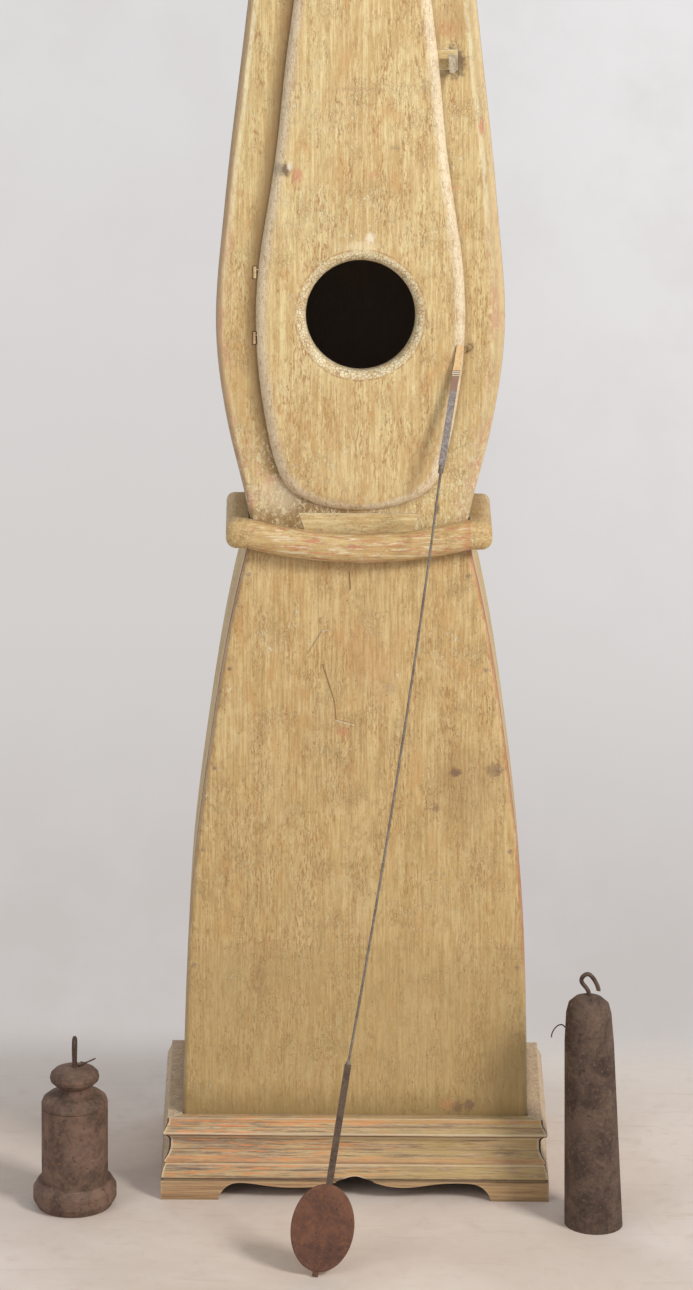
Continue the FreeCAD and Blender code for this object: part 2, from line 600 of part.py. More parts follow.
# Door hinges: iron eyes with spikes, and their pins, under the edge of the lip on the left
HINGES = {"low": "hinge_low_z", "high": "hinge_high_z"}
frame_irons, door_irons, notches, mortises, frame_spikes, door_spikes = [], [], [], [], [], []
for name, at in HINGES.items():
    low_eye = rod(f"{name}_frame_eye", "eye_radius", "eye_height", "hinge_x", "case_front_y",
                  f"{at} - eye_height - rest_clearance / 2")
    pin = rod(f"{name}_pin", "hinge_pin_radius", "2 * eye_height + rest_clearance", "hinge_x",
              "case_front_y", f"{at} - eye_height - rest_clearance / 2")
    frame_spike = rod(f"{name}_frame_spike", "spike_radius", "spike_length", "hinge_x - spike_length",
                      "case_front_y + spike_sink", f"{at} - eye_height / 2", "x")
    high_eye = rod(f"{name}_door_eye", "eye_radius", "eye_height", "hinge_x", "case_front_y",
                   f"{at} + rest_clearance / 2")
    pin_hole = rod(f"{name}_pin_hole", "hinge_pin_radius + pin_clearance", "eye_height + 2 * overrun",
                   "hinge_x", "case_front_y", f"{at} - overrun")
    door_spike = rod(f"{name}_door_spike", "spike_radius", "spike_length", "hinge_x",
                     "case_front_y - spike_sink", f"{at} + eye_height / 2", "x")
    frame_irons.append(joined(f"{name}_frame_iron", low_eye, pin, frame_spike))
    solid_iron = joined(f"{name}_door_iron_blank", high_eye, door_spike)
    door_irons.append(less(f"{name}_door_iron", solid_iron, pin_hole))
    notches.append(rod(f"{name}_notch", "eye_notch_radius", "2 * eye_height + 2 * notch_margin", "hinge_x",
                       "case_front_y", f"{at} - eye_height - notch_margin"))
    mortises.append(box(f"{name}_mortise", ("hinge_x - mortise_depth", "hinge_x + mortise_depth"),
                        ("case_front_y - eye_notch_radius", "case_front_y + eye_notch_radius"),
                        (f"{at} - eye_height - notch_margin", f"{at} + eye_height + notch_margin")))
    frame_spikes.append(frame_spike)
    door_spikes.append(door_spike)
keep(group("door_hinge_frame_eyes", *frame_irons), "door_hinge_frame_eyes")
keep(group("door_hinge_door_eyes", *door_irons), "door_hinge_door_eyes")

# Turn catch: an iron tongue on a shank, in a block let in beside the door
shank = rod("catch_shank", "catch_shank_radius", "catch_standoff + front_thickness", "catch_x",
            "case_front_y - catch_standoff", "catch_z", "y")
# The tongue's lower outline: shares of its width, from the middle, and of its length, down
TONGUE_SHARES = [(0.5, 0.7), (0.0, 1.0), (-0.33, 0.9)]
tongue = padded("catch_tongue", [
    ("catch_x - catch_width / 2", "catch_z + catch_top"),
    ("catch_x + catch_width / 3", "catch_z + catch_top"),
] + [(f"catch_x + {w} * catch_width", f"catch_z - {h} * catch_length") for w, h in TONGUE_SHARES],
    "case_front_y - catch_standoff - catch_thickness", "case_front_y - catch_standoff")
keep(joined("door_catch", shank, tongue), "door_catch")
shank_hole = rod("shank_hole", "catch_shank_radius + pin_clearance", "front_thickness + 2 * overrun",
                 "catch_x", "case_front_y - overrun", "catch_z", "y")
block_x = ("catch_x + catch_width / 2 - block_width", "catch_x + catch_width / 2")
block_z = ("catch_z - block_below", "catch_z - block_below + block_height")
block_blank = box("catch_block_blank", block_x, ("case_front_y", "case_front_y + block_depth"), block_z)
block_pocket = box(
    "block_pocket",
    (f"{block_x[0]} - joint_clearance", f"{block_x[1]} + joint_clearance"),
    ("case_front_y - overrun", "case_front_y + block_depth"),
    (f"{block_z[0]} - joint_clearance", f"{block_z[1]} + joint_clearance"))
opening_copy = shaped("opening_copy", opening)
catch_block = less("catch_block", block_blank, shank_hole, opening_copy)
keep(group("let_in_pieces", sill, catch_block), "let_in_pieces")
# The bent nail's line: shares of its reach out of the board, and of its loop to the right and up
BEND_SHARES = [(-0.04, 0.0, 0.0), (-0.3, 0.0, 0.0), (-0.6, 0.08, 0.06), (-1.0, 0.5, 0.3), (-1.1, 1.0, 0.9),
               (-1.0, 0.6, 1.5), (-0.9, 0.0, 1.4)]
bend = [
    (s.nail_x + right * s.nail_loop, s.case_front_y + out * s.nail_reach, s.nail_z + up * s.nail_loop)
    for out, right, up in BEND_SHARES
]
nails = group("nail_pieces", shaped("board_nails", Part.makeCompound(nail_heads)),
              bent_wire("bent_nail", bend, s.nail_radius))
keep(nails, "nails")
keep(less("waist_front_frame", frame_blank, block_pocket, shank_hole, *notches, *frame_spikes),
     "waist_front_frame")

# Door: one thick panel with a rounded edge, rebated behind so that a lip covers the gap, and a round window
panel = Part.Face(pear(s.door_front_y)).extrude(Vector(0, s.door_back_y - s.door_front_y, 0))
panel = rounded_front(panel, s.door_front_y, s.door_round, lambda e: True)
before_seat = Part.makeBox(4 * s.door_half, s.door_seat_y - s.door_front_y + s.overrun, 2 * s.door_height,
                           Vector(-2 * s.door_half, s.door_front_y - s.overrun, s.belt_foot_z))
inside = Part.Face(pear(s.door_seat_y, -s.door_lip)).extrude(Vector(0, s.door_back_y - s.door_seat_y, 0))
panel = panel.common(before_seat).fuse(inside).removeSplitter()
window = Part.makeCylinder(s.window_radius, s.front_thickness + 2 * s.door_proud,
                           Vector(0, s.door_front_y - s.overrun, s.window_z), Vector(0, 1, 0))
panel = rounded_front(panel.cut(window), s.door_front_y, s.window_round,
                      lambda e: abs(e.BoundBox.Center.z - s.window_z) < s.window_radius)
keep(less("waist_door", shaped("door_blank", panel), *mortises, *door_spikes), "waist_door")

# Hood: neck moulding, base, round front, bent rim and back
neck_front, neck_side = moulding(
    NECK_PROFILE_SHARES, s.neck_mould_out, s.neck_mould_height, s.neck_half,
    (s.neck_mould_out + s.edge_round, s.neck_mould_out + s.edge_round), s.neck_z - s.neck_mould_height,
)
keep(shaped("neck_moulding_front", neck_front.cut(frame_board)), "neck_moulding_front")
neck_side = neck_side.cut([side_board(upper_lines, s.case_front_y, s.back_y), back.Shape])
neck_sides = Part.makeCompound([neck_side, mirrored(neck_side)])
keep(shaped("neck_moulding_sides", neck_sides), "neck_moulding_sides")
base_blank = box("hood_base_blank", ("-hood_base_half", "hood_base_half"),
                 ("case_front_y - hood_base_out", "back_y"), ("neck_z", "hood_base_z"))
well = box("hood_well", ("-well_half", "well_half"), ("case_front_y + well_front", "back_y - well_back"),
           ("neck_z - overrun", "hood_z"))
keep(less("hood_base", base_blank, well), "hood_base")


def hood_disc(name, radius, y_low, y_high):
    return rod(name, radius, f"({y_high}) - ({y_low})", "0", y_low, "hood_z", "y")


under = box("under_hood", ("-2 * hood_radius", "2 * hood_radius"),
            ("hood_front_y - overrun", "back_y + overrun"), ("neck_z - hood_radius", "hood_base_z"))
front_disc = hood_disc("hood_front_disc", "hood_radius", "hood_front_y", "hood_ring_back_y")
dial_hole = hood_disc("dial_hole", "dial_opening", "hood_front_y - overrun", "hood_ring_back_y + overrun")
keep(less("hood_front", front_disc, dial_hole, under), "hood_front")
rim_disc = hood_disc("rim_disc", "hood_radius", "hood_ring_back_y", "board_back_y")
rim_hollow = hood_disc("rim_hollow", "hood_radius - rim_thickness", "hood_ring_back_y - overrun",
                       "board_back_y + overrun")
keep(less("hood_rim", rim_disc, rim_hollow, under, well), "hood_rim")
back_disc = hood_disc("hood_back_disc", "hood_radius", "board_back_y", "back_y")
keep(less("hood_back", back_disc, under), "hood_back")

# Bezel door: a turned ring with its glass, a knob and a pin hinge on the right
ring_back = "hood_front_y - rest_clearance"
glass_seat = "bezel_inner + bezel_lap"
# The ring's front, from the glass out: shares of its width and of its depth
BEZEL_SHARES = [(0.0, 1.0), (0.19, 0.9), (0.5, 1.0), (0.86, 0.5), (1.0, 0.33), (1.0, 0.0)]
ring = turned("bezel_turning", [
    (f"bezel_inner + {w} * (bezel_outer - bezel_inner)", f"-{h} * bezel_depth") for w, h in BEZEL_SHARES
] + [
    (glass_seat, "0"), (glass_seat, "-glass_thickness * 2"), ("bezel_inner", "-glass_thickness * 2"),
], "0", ring_back, "hood_z", "y")
axis_y = f"{ring_back} - bezel_axis_out"
ring_eye = rod("bezel_eye", "bezel_eye_radius", "bezel_eye_height", "bezel_axis_x", axis_y,
               "hood_z + rest_clearance / 2")
ring_arm = box("bezel_arm", ("bezel_outer - bezel_lap", "bezel_axis_x"),
               (f"{axis_y} - bezel_eye_radius / 2", f"{axis_y} + bezel_eye_radius / 2"),
               ("hood_z + rest_clearance / 2", "hood_z + rest_clearance / 2 + bezel_eye_height"))
eye_hole = rod("bezel_eye_hole", "hinge_pin_radius + pin_clearance", "bezel_eye_height + 2 * overrun",
               "bezel_axis_x", axis_y, "hood_z - overrun")
knob_seat = rod("knob_seat", "hinge_pin_radius", "bezel_depth + overrun", "-bezel_knob_x",
                f"{ring_back} - bezel_depth - overrun", "hood_z", "y")
keep(less("bezel_ring", joined("bezel_blank", ring, ring_eye, ring_arm), eye_hole, knob_seat), "bezel_ring")
keep(rod("bezel_glass", f"{glass_seat} - joint_clearance", "glass_thickness", "0",
         f"{ring_back} - 2 * glass_thickness", "hood_z", "y"), "bezel_glass")
# The knob outside the ring: shares of its radius and of its length
KNOB_SHARES = [(0.5, 0.0), (0.5, 0.33), (1.0, 0.5), (0.8, 1.0), (0.0, 1.0)]
keep(turned("bezel_knob", [
    ("0", "0"), ("hinge_pin_radius", "0"), ("hinge_pin_radius", "-bezel_depth"),
] + [(f"{w} * bezel_knob_radius", f"-bezel_depth - {h} * bezel_knob_length") for w, h in KNOB_SHARES],
    "-bezel_knob_x", ring_back, "hood_z", "y"), "bezel_knob")
fixed_eye = rod("bezel_fixed_eye", "bezel_eye_radius", "bezel_eye_height", "bezel_axis_x", axis_y,
                "hood_z - rest_clearance / 2 - bezel_eye_height")
fixed_pin = rod("bezel_pin", "hinge_pin_radius", "2 * bezel_eye_height", "bezel_axis_x", axis_y,
                "hood_z - rest_clearance / 2 - bezel_eye_height")
fixed_leaf = box("bezel_leaf", ("bezel_axis_x", "bezel_axis_x + bezel_leaf_width"),
                 ("hood_front_y - bezel_leaf_thickness", "hood_front_y"),
                 ("hood_z - rest_clearance / 2 - bezel_eye_height", "hood_z - rest_clearance / 2"))
fixed_arm = box("bezel_fixed_arm", ("bezel_axis_x", "bezel_axis_x + bezel_eye_radius"),
                (axis_y, "hood_front_y"),
                ("hood_z - rest_clearance / 2 - bezel_eye_height", "hood_z - rest_clearance / 2"))
keep(joined("bezel_hinge", fixed_eye, fixed_pin, fixed_leaf, fixed_arm), "bezel_hinge")

# Toothed wheels

# Half thickness of a tooth, in shares of half its pitch, at its root, its pitch line and its tip
WHEEL_TOOTH_SHARES = (0.52, 0.36, 0.1)
PINION_TOOTH_SHARES = (0.34, 0.34, 0.16)
WHEEL_HEIGHT_SHARES = (-1.3, 0.0, 0.95)
PINION_HEIGHT_SHARES = (-1.5, 0.0, 0.6)
MOST_LEAVES = 12


def gear(teeth, module, y_low, y_high, centre_x, centre_z, towards, leaf_on_line):
    """A toothed disc whose tooth, or gap, faces the angle towards, in degrees from +X up to +Z."""
    pinion = teeth <= MOST_LEAVES
    widths = PINION_TOOTH_SHARES if pinion else WHEEL_TOOTH_SHARES
    heights = PINION_HEIGHT_SHARES if pinion else WHEEL_HEIGHT_SHARES
    pitch = 2 * math.pi / teeth
    start = math.radians(towards) + (0 if leaf_on_line else pitch / 2)
    flank = [
        (teeth * module / 2 + rise * module, width * pitch / 2) for rise, width in zip(heights, widths)
    ]
    points = []
    for tooth in range(teeth):
        middle = start + tooth * pitch
        for radius, half in flank:
            points.append((radius, middle - half))
        for radius, half in reversed(flank):
            points.append((radius, middle + half))
    corners = [Vector(centre_x + r * math.cos(a), y_low, centre_z + r * math.sin(a)) for r, a in points]
    return Part.Face(Part.makePolygon(corners + corners[:1])).extrude(Vector(0, y_high - y_low, 0))


def arbor(radius, x, z, y_low, y_high):
    return Part.makeCylinder(radius, y_high - y_low, Vector(x, y_low, z), Vector(0, 1, 0))


def fused(*shapes):
    return shapes[0].multiFuse(list(shapes[1:])).removeSplitter()


# The going train's teeth and its centres: the great wheel lies below right, the others stand above
GREAT_TEETH, LEAVES, CENTRE_TEETH, THIRD_TEETH, ESCAPE_TEETH = 96, 8, 64, 60, 30
CANNON_TEETH, MINUTE_TEETH, MINUTE_LEAVES, HOUR_TEETH = 10, 30, 8, 32
GREAT_ANGLE = -40
centre_z = s.hood_z
great_reach = (GREAT_TEETH + LEAVES) * s.great_module / 2
great_x = great_reach * math.cos(math.radians(GREAT_ANGLE))
great_z = centre_z + great_reach * math.sin(math.radians(GREAT_ANGLE))
third_z = centre_z + (CENTRE_TEETH + LEAVES) * s.train_module / 2
escape_z = third_z + (THIRD_TEETH + LEAVES) * s.train_module / 2
anchor_z = escape_z + s.anchor_rise
motion_drop = (CANNON_TEETH + MINUTE_TEETH) * s.motion_module / 2
great_y = s.inside_front_y + s.wheel_inset
centre_y = great_y + s.wheel_width + 3 * s.flange_thickness
third_y = centre_y + s.barrel_length / 2
escape_y = third_y + s.barrel_length / 2
strike_y = s.inside_back_y - s.wheel_inset - s.wheel_width

# Dial, with holes for the hands and for the two winding squares
dial_holes = Part.makeCompound([
    arbor(radius, x, z, s.hood_ring_back_y - s.overrun, s.dial_back_y + s.overrun)
    for radius, x, z in ((s.dial_hole_radius, 0, centre_z), (s.winding_hole_radius, great_x, great_z),
                         (s.winding_hole_radius, -great_x, great_z))
])
dial_blank = hood_disc("dial_disc", "dial_radius", "hood_ring_back_y", "dial_back_y")
keep(less("dial_plate", dial_blank, shaped("dial_holes", dial_holes)), "dial_plate")


def winding_arbor(x):
    """A barrel's arbor with a square that reaches towards the dial."""
    end_y = s.dial_back_y + s.motion_gap
    start = Vector(x - s.winding_square / 2, end_y, great_z - s.winding_square / 2)
    square = Part.makeBox(s.winding_square, s.plate_front_y - end_y, s.winding_square, start)
    return [square, arbor(2 * s.arbor_radius, x, great_z, s.plate_front_y - s.flange_thickness,
                          s.movement_back_y)]


# Barrels with their great wheels: going on the right, striking on the left
drum_y = great_y + s.wheel_width
going = fused(
    gear(GREAT_TEETH, s.great_module, great_y, drum_y, great_x, great_z, GREAT_ANGLE + 180, True),
    arbor(s.barrel_radius, great_x, great_z, drum_y, drum_y + s.barrel_length),
    arbor(s.barrel_flange, great_x, great_z, drum_y + s.barrel_length,
          drum_y + s.barrel_length + s.flange_thickness),
    *winding_arbor(great_x),
)
keep(shaped("going_barrel", going), "going_barrel")
lift_pins = []
PIN_COUNT = 8
for i in range(PIN_COUNT):
    angle = 2 * math.pi * (i + 0.5) / PIN_COUNT
    lift_pins.append(arbor(s.lift_pin_radius, -great_x + s.lift_pin_circle * math.cos(angle),
                           great_z + s.lift_pin_circle * math.sin(angle), strike_y - s.lift_pin_length,
                           strike_y))
striking = fused(
    gear(GREAT_TEETH, s.great_module, strike_y, strike_y + s.wheel_width, -great_x, great_z, 0, True),
    arbor(s.barrel_radius, -great_x, great_z, strike_y - s.barrel_length, strike_y),
    arbor(s.barrel_flange, -great_x, great_z, strike_y - s.barrel_length - s.flange_thickness,
          strike_y - s.barrel_length),
    *winding_arbor(-great_x),
    *lift_pins,
)
keep(shaped("strike_barrel", striking), "strike_barrel")

# Centre, third and escape wheels, each on its own arbor
hand_end_y = s.hood_ring_back_y - s.minute_hand_out - 3 * s.hand_thickness
centre_wheel = fused(
    gear(LEAVES, s.great_module, great_y - s.wheel_width / 2, great_y + 3 * s.wheel_width / 2, 0, centre_z,
         GREAT_ANGLE, False),
    gear(CENTRE_TEETH, s.train_module, centre_y, centre_y + s.wheel_width, 0, centre_z, 90, True),
    arbor(s.arbor_radius, 0, centre_z, hand_end_y, s.movement_back_y),
)
keep(shaped("centre_wheel", centre_wheel), "centre_wheel")
third_wheel = fused(
    gear(LEAVES, s.train_module, centre_y - s.wheel_width, centre_y + 2 * s.wheel_width, 0, third_z, -90,
         False),
    gear(THIRD_TEETH, s.train_module, third_y, third_y + s.wheel_width, 0, third_z, 90, True),
    arbor(s.pivot_radius, 0, third_z, s.plate_front_y, s.movement_back_y),
)
keep(shaped("third_wheel", third_wheel), "third_wheel")
# Escape teeth: pointed, leaning one way, in shares of the pitch and of the radius
ESCAPE_TOOTH_SHARES = [(0.0, 1.0), (0.1, 1.0), (0.34, 0.8), (0.8, 0.8)]
escape_points = []
for tooth in range(ESCAPE_TEETH):
    for turn, reach in ESCAPE_TOOTH_SHARES:
        angle = 2 * math.pi * (tooth + turn) / ESCAPE_TEETH
        escape_points.append(Vector(s.escape_radius * reach * math.cos(angle), escape_y,
                                    escape_z + s.escape_radius * reach * math.sin(angle)))
escape_disc = Part.Face(Part.makePolygon(escape_points + escape_points[:1])).extrude(
    Vector(0, s.escape_width, 0))
escape_wheel = fused(
    escape_disc,
    gear(LEAVES, s.train_module, third_y - s.wheel_width, third_y + 2 * s.wheel_width, 0, escape_z, -90,
         False),
    arbor(s.pivot_radius, 0, escape_z, s.plate_front_y, s.movement_back_y),
)
keep(shaped("escape_wheel", escape_wheel), "escape_wheel")

# Anchor: two arms over the escape wheel, its arbor and the crutch behind the back plate
PALLET_ANGLE = 42
pallet_reach = s.escape_radius + s.pallet_clearance
pallet_x = pallet_reach * math.sin(math.radians(PALLET_ANGLE))
pallet_z = escape_z + pallet_reach * math.cos(math.radians(PALLET_ANGLE))
half_arm = s.anchor_thickness / 2
# The anchor's outline: the pallet's side, 0 for the middle, then shares of half an arm's thickness
ANCHOR_SHARES = [(0, 0.0, 1.5), (1, 1.5, 1.5), (1, 0.0, 0.0), (1, -0.5, 1.0), (0, 0.0, -1.5),
                 (-1, 0.5, 1.0), (-1, 0.0, 0.0), (-1, -1.5, 1.5)]
anchor_points = [
    Vector(side * pallet_x + across * half_arm, escape_y - half_arm / 2,
           (pallet_z if side else anchor_z) + up * half_arm)
    for side, across, up in ANCHOR_SHARES
]
anchor_plate = Part.Face(Part.makePolygon(anchor_points + anchor_points[:1])).extrude(
    Vector(0, s.escape_width + half_arm, 0))
crutch_y = s.movement_back_y + s.crutch_gap
fork_foot = anchor_z - s.crutch_length
crutch_foot = Vector(0, crutch_y, fork_foot + s.fork_height / 2)
crutch = Part.makeCylinder(s.crutch_radius, s.crutch_length, crutch_foot)
fork = Part.makeBox(s.fork_width, s.fork_depth, s.fork_height,
                    Vector(-s.fork_width / 2, crutch_y - s.fork_front, fork_foot))
slot_y = crutch_y - s.fork_front + s.fork_depth - s.fork_slot_depth
fork_slot = Part.makeBox(s.fork_slot_width, s.fork_slot_depth + s.overrun, s.fork_height + 2 * s.overrun,
                         Vector(-s.fork_slot_width / 2, slot_y, fork_foot - s.overrun))
anchor = fused(
    anchor_plate, arbor(s.pivot_radius, 0, anchor_z, s.plate_front_y, crutch_y), crutch,
    fork.cut(fork_slot),
)
keep(shaped("anchor", anchor), "anchor")

# Motion work and hands: cannon pinion with the minute hand, minute wheel, hour wheel with the hour hand
cannon_y = s.plate_front_y - s.motion_gap - s.motion_gear_width
hour_y = cannon_y - s.rest_clearance - s.motion_gear_width
hour_hand_y = s.hood_ring_back_y - s.hour_hand_out
minute_hand_y = s.hood_ring_back_y - s.minute_hand_out
# A hand's half outline from the middle out: shares of its length, and half widths in pipe radii
HAND_SHARES = [(-0.22, 0.6), (-0.1, 0.9), (0.08, 0.8), (0.55, 0.45), (0.66, 1.7), (0.74, 0.5), (1.0, 0.1)]


def hand(length, y, turn):
    """A flat pointed hand, turned clockwise from upright by the angle in degrees."""
    half = [(share * length, width * s.minute_pipe_radius) for share, width in HAND_SHARES]
    around = [(w, r) for r, w in half] + [(-w, r) for r, w in reversed(half)]
    points = [Vector(x, y, centre_z + r) for x, r in around]
    blade = Part.Face(Part.makePolygon(points + points[:1])).extrude(Vector(0, s.hand_thickness, 0))
    return blade.rotated(Vector(0, 0, centre_z), Vector(0, 1, 0), turn)


HOUR_TURN, MINUTE_TURN = 305, 60
bore = arbor(s.arbor_radius + s.run_clearance, 0, centre_z, hand_end_y, s.plate_front_y)
minute_hand = fused(
    hand(s.minute_length, minute_hand_y, MINUTE_TURN),
    arbor(2 * s.minute_pipe_radius, 0, centre_z, minute_hand_y, minute_hand_y + s.hand_thickness),
    arbor(s.minute_pipe_radius, 0, centre_z, minute_hand_y, cannon_y),
    gear(CANNON_TEETH, s.motion_module, cannon_y, cannon_y + s.motion_gear_width, 0, centre_z, -90, False),
).cut(bore)
keep(shaped("minute_hand", minute_hand), "minute_hand")
hour_bore = arbor(s.minute_pipe_radius + s.run_clearance, 0, centre_z, hand_end_y, s.plate_front_y)
hour_hand = fused(
    hand(s.hour_length, hour_hand_y, HOUR_TURN),
    arbor(2 * s.minute_pipe_radius, 0, centre_z, hour_hand_y, hour_hand_y + s.hand_thickness),
    arbor(s.hour_pipe_radius, 0, centre_z, hour_hand_y, hour_y),
    gear(HOUR_TEETH, s.motion_module, hour_y, hour_y + s.motion_gear_width, 0, centre_z, -90, True),
).cut(hour_bore)
keep(shaped("hour_hand", hour_hand), "hour_hand")
minute_z = centre_z - motion_drop
stud_bore = arbor(s.arbor_radius + s.run_clearance, 0, minute_z, hour_y - s.motion_gap, s.plate_front_y)
minute_wheel = fused(
    gear(MINUTE_TEETH, s.motion_module, cannon_y, cannon_y + s.motion_gear_width, 0, minute_z, 90, True),
    gear(MINUTE_LEAVES, s.motion_module, hour_y - s.rest_clearance, cannon_y, 0, minute_z, 90, False),
).cut(stud_bore)
keep(shaped("minute_wheel", minute_wheel), "minute_wheel")

# Movement frame: two plates and four pillars on the seat board, between two cheeks
plate_x = ("-plate_half", "plate_half")
plate_z = ("hood_z - plate_below", "hood_z + plate_above")
PIVOTS = [
    (great_x, great_z, 2 * s.arbor_radius), (-great_x, great_z, 2 * s.arbor_radius),
    (0, centre_z, s.arbor_radius), (0, third_z, s.pivot_radius), (0, escape_z, s.pivot_radius),
    (0, anchor_z, s.pivot_radius), (-s.hammer_x, centre_z + s.hammer_rise, s.pivot_radius),
]
pivot_holes = Part.makeCompound([
    arbor(radius + s.run_clearance, x, z, s.plate_front_y - s.overrun, s.movement_back_y + s.overrun)
    for x, z, radius in PIVOTS
])
holes = shaped("pivot_holes", pivot_holes)
stud = shaped("minute_stud", arbor(s.arbor_radius, 0, minute_z, hour_y - s.rest_clearance, s.plate_front_y))
front_blank = box("front_plate_blank", plate_x, ("plate_front_y", "inside_front_y"), plate_z)
front_stud = joined("front_plate_stud", front_blank, stud)
keep(less("movement_front_plate", front_stud, holes), "movement_front_plate")
back_blank = box("back_plate_blank", plate_x, ("inside_back_y", "movement_back_y"), plate_z)
keep(less("movement_back_plate", back_blank, holes), "movement_back_plate")
pillars = []
PILLAR_X = ("-plate_half + pillar_inset", "plate_half - pillar_inset")
PILLAR_Z = ("hood_z - plate_below + pillar_inset", "hood_z + plate_above - pillar_inset")
for side, x in zip(("left", "right"), PILLAR_X):
    for level, z in zip(("low", "high"), PILLAR_Z):
        name = f"pillar_{side}_{level}"
        pillars.append(rod(name, "pillar_radius", "plate_gap", x, "inside_front_y", z, "y"))
keep(group("movement_pillars", *pillars), "movement_pillars")
keep(box("seat_board", ("-seat_half", "seat_half"),
         ("plate_front_y - seat_lap", "plate_front_y + seat_depth"),
         ("seat_top_z - seat_thickness", "seat_top_z")), "seat_board")
cheek_out = "neck_half - side_thickness - board_clearance"
cheek_front = "frame_back_y + cheek_setback"
for side, x in (("left", (f"-({cheek_out})", f"-({cheek_out}) + cheek_thickness")),
                ("right", (f"{cheek_out} - cheek_thickness", cheek_out))):
    battens.append(box(f"cheek_{side}", x, (cheek_front, f"{cheek_front} + cheek_depth"),
                       ("cheek_foot_z", "seat_top_z - seat_thickness")))
keep(group("batten_pieces", *battens), "inner_battens")

# Suspension cock on the back plate, with the slit that a pendulum's spring hangs in
cock_z = ("hood_z + plate_above - cock_height", "hood_z + plate_above")
cock_blank = box("cock_blank", ("-cock_width / 2", "cock_width / 2"),
                 ("movement_back_y", "movement_back_y + cock_length"), cock_z)
cock_slot = box("cock_slot", ("-cock_slit / 2", "cock_slit / 2"),
                ("movement_back_y + cock_length / 2", "movement_back_y + cock_length + overrun"),
                ("hood_z + plate_above - cock_height - overrun", "hood_z + plate_above + overrun"))
keep(less("suspension_cock", cock_blank, cock_slot), "suspension_cock")

# Bell on its stand, and the hammer that the striking wheel's pins lift
bell_y = "(inside_back_y + movement_back_y) / 2"
bell_seat = "bell_rise + bell_height - bell_wall - joint_clearance"
keep(turned("bell_stand", [
    ("0", "0"), ("bell_stand_radius", "0"), ("bell_stand_radius", bell_seat),
    ("bell_stand_radius / 2", bell_seat),
    ("bell_stand_radius / 2", "bell_rise + bell_height"), ("bell_nut_radius", "bell_rise + bell_height"),
    ("bell_nut_radius", "bell_rise + bell_height + bell_nut_height"),
    ("0", "bell_rise + bell_height + bell_nut_height"),
], "0", bell_y, "hood_z + plate_above"), "bell_stand")
# The bell's outer line: shares of its radius and of its height, from the rim up
BELL_SHARES = [(1.0, 0.0), (0.94, 0.3), (0.8, 0.68), (0.5, 0.93)]
outer_line = [(w * s.bell_radius, h * s.bell_height) for w, h in BELL_SHARES] + [
    (s.bell_stand_radius / 2 + s.joint_clearance, s.bell_height)]
inner_line = [(max(r - s.bell_wall, s.bell_stand_radius / 2 + s.joint_clearance), max(h - s.bell_wall, 0))
              for r, h in outer_line]
bell_points = [Vector(r, 0, h) for r, h in outer_line + inner_line[::-1]]
bell_axis = Vector(0, (s.inside_back_y + s.movement_back_y) / 2, s.hood_z + s.plate_above + s.bell_rise)
bell_face = Part.Face(Part.makePolygon(bell_points + bell_points[:1])).translated(bell_axis)
keep(shaped("bell", bell_face.revolve(bell_axis, Vector(0, 0, 1), 360)), "bell")
hammer_z = centre_z + s.hammer_rise
head_z = s.hood_z + s.plate_above + s.bell_rise + s.hammer_head_radius
head_x = -s.bell_radius - s.hammer_gap - s.hammer_head_length / 2
hammer_y = bell_axis.y
tail_y = strike_y - s.lift_pin_length / 2
tail_foot_z = great_z + s.lift_pin_circle + 2 * s.lift_pin_radius


def bar_between(a, b, radius):
    return Part.makeCylinder(radius, (b - a).Length, a, b - a)


hammer = fused(
    arbor(s.pivot_radius, -s.hammer_x, hammer_z, s.plate_front_y, hammer_y + s.hammer_arbor_out),
    bar_between(Vector(-s.hammer_x, hammer_y + s.hammer_rod_out, hammer_z),
                Vector(head_x, hammer_y + s.hammer_rod_out, head_z), s.hammer_rod_radius),
    Part.makeCylinder(s.hammer_head_radius, s.hammer_head_length,
                      Vector(head_x - s.hammer_head_length / 2, hammer_y + s.hammer_head_out, head_z),
                      Vector(1, 0, 0)),
    bar_between(Vector(-s.hammer_x, tail_y, hammer_z), Vector(-great_x, tail_y, tail_foot_z),
                s.hammer_rod_radius),
)
keep(shaped("hammer", hammer), "hammer")

# Pendulum: leans from its nib on the floor to the edge of the door; built upright, then laid over
lean = Vector(s.top_x - s.tip_x, s.top_y - s.tip_y, s.top_z)
length = lean.Length
nib_rise = (s.nib_width * lean.x + s.nib_thickness * lean.y) / (2 * length)
nib_foot = Vector(s.tip_x, s.tip_y, nib_rise)
bob_foot = s.nib_length
bar_foot = bob_foot + s.bob_height
wire_foot = bar_foot + s.bar_length
tab_foot = length - s.tab_length
binding_foot = tab_foot - s.binding_length
strip_foot = binding_foot - s.strip_length
ferrule_foot = strip_foot - s.ferrule_length


def flat(width, thickness, low, high):
    return Part.makeBox(width, thickness, high - low, Vector(-width / 2, -thickness / 2, low))


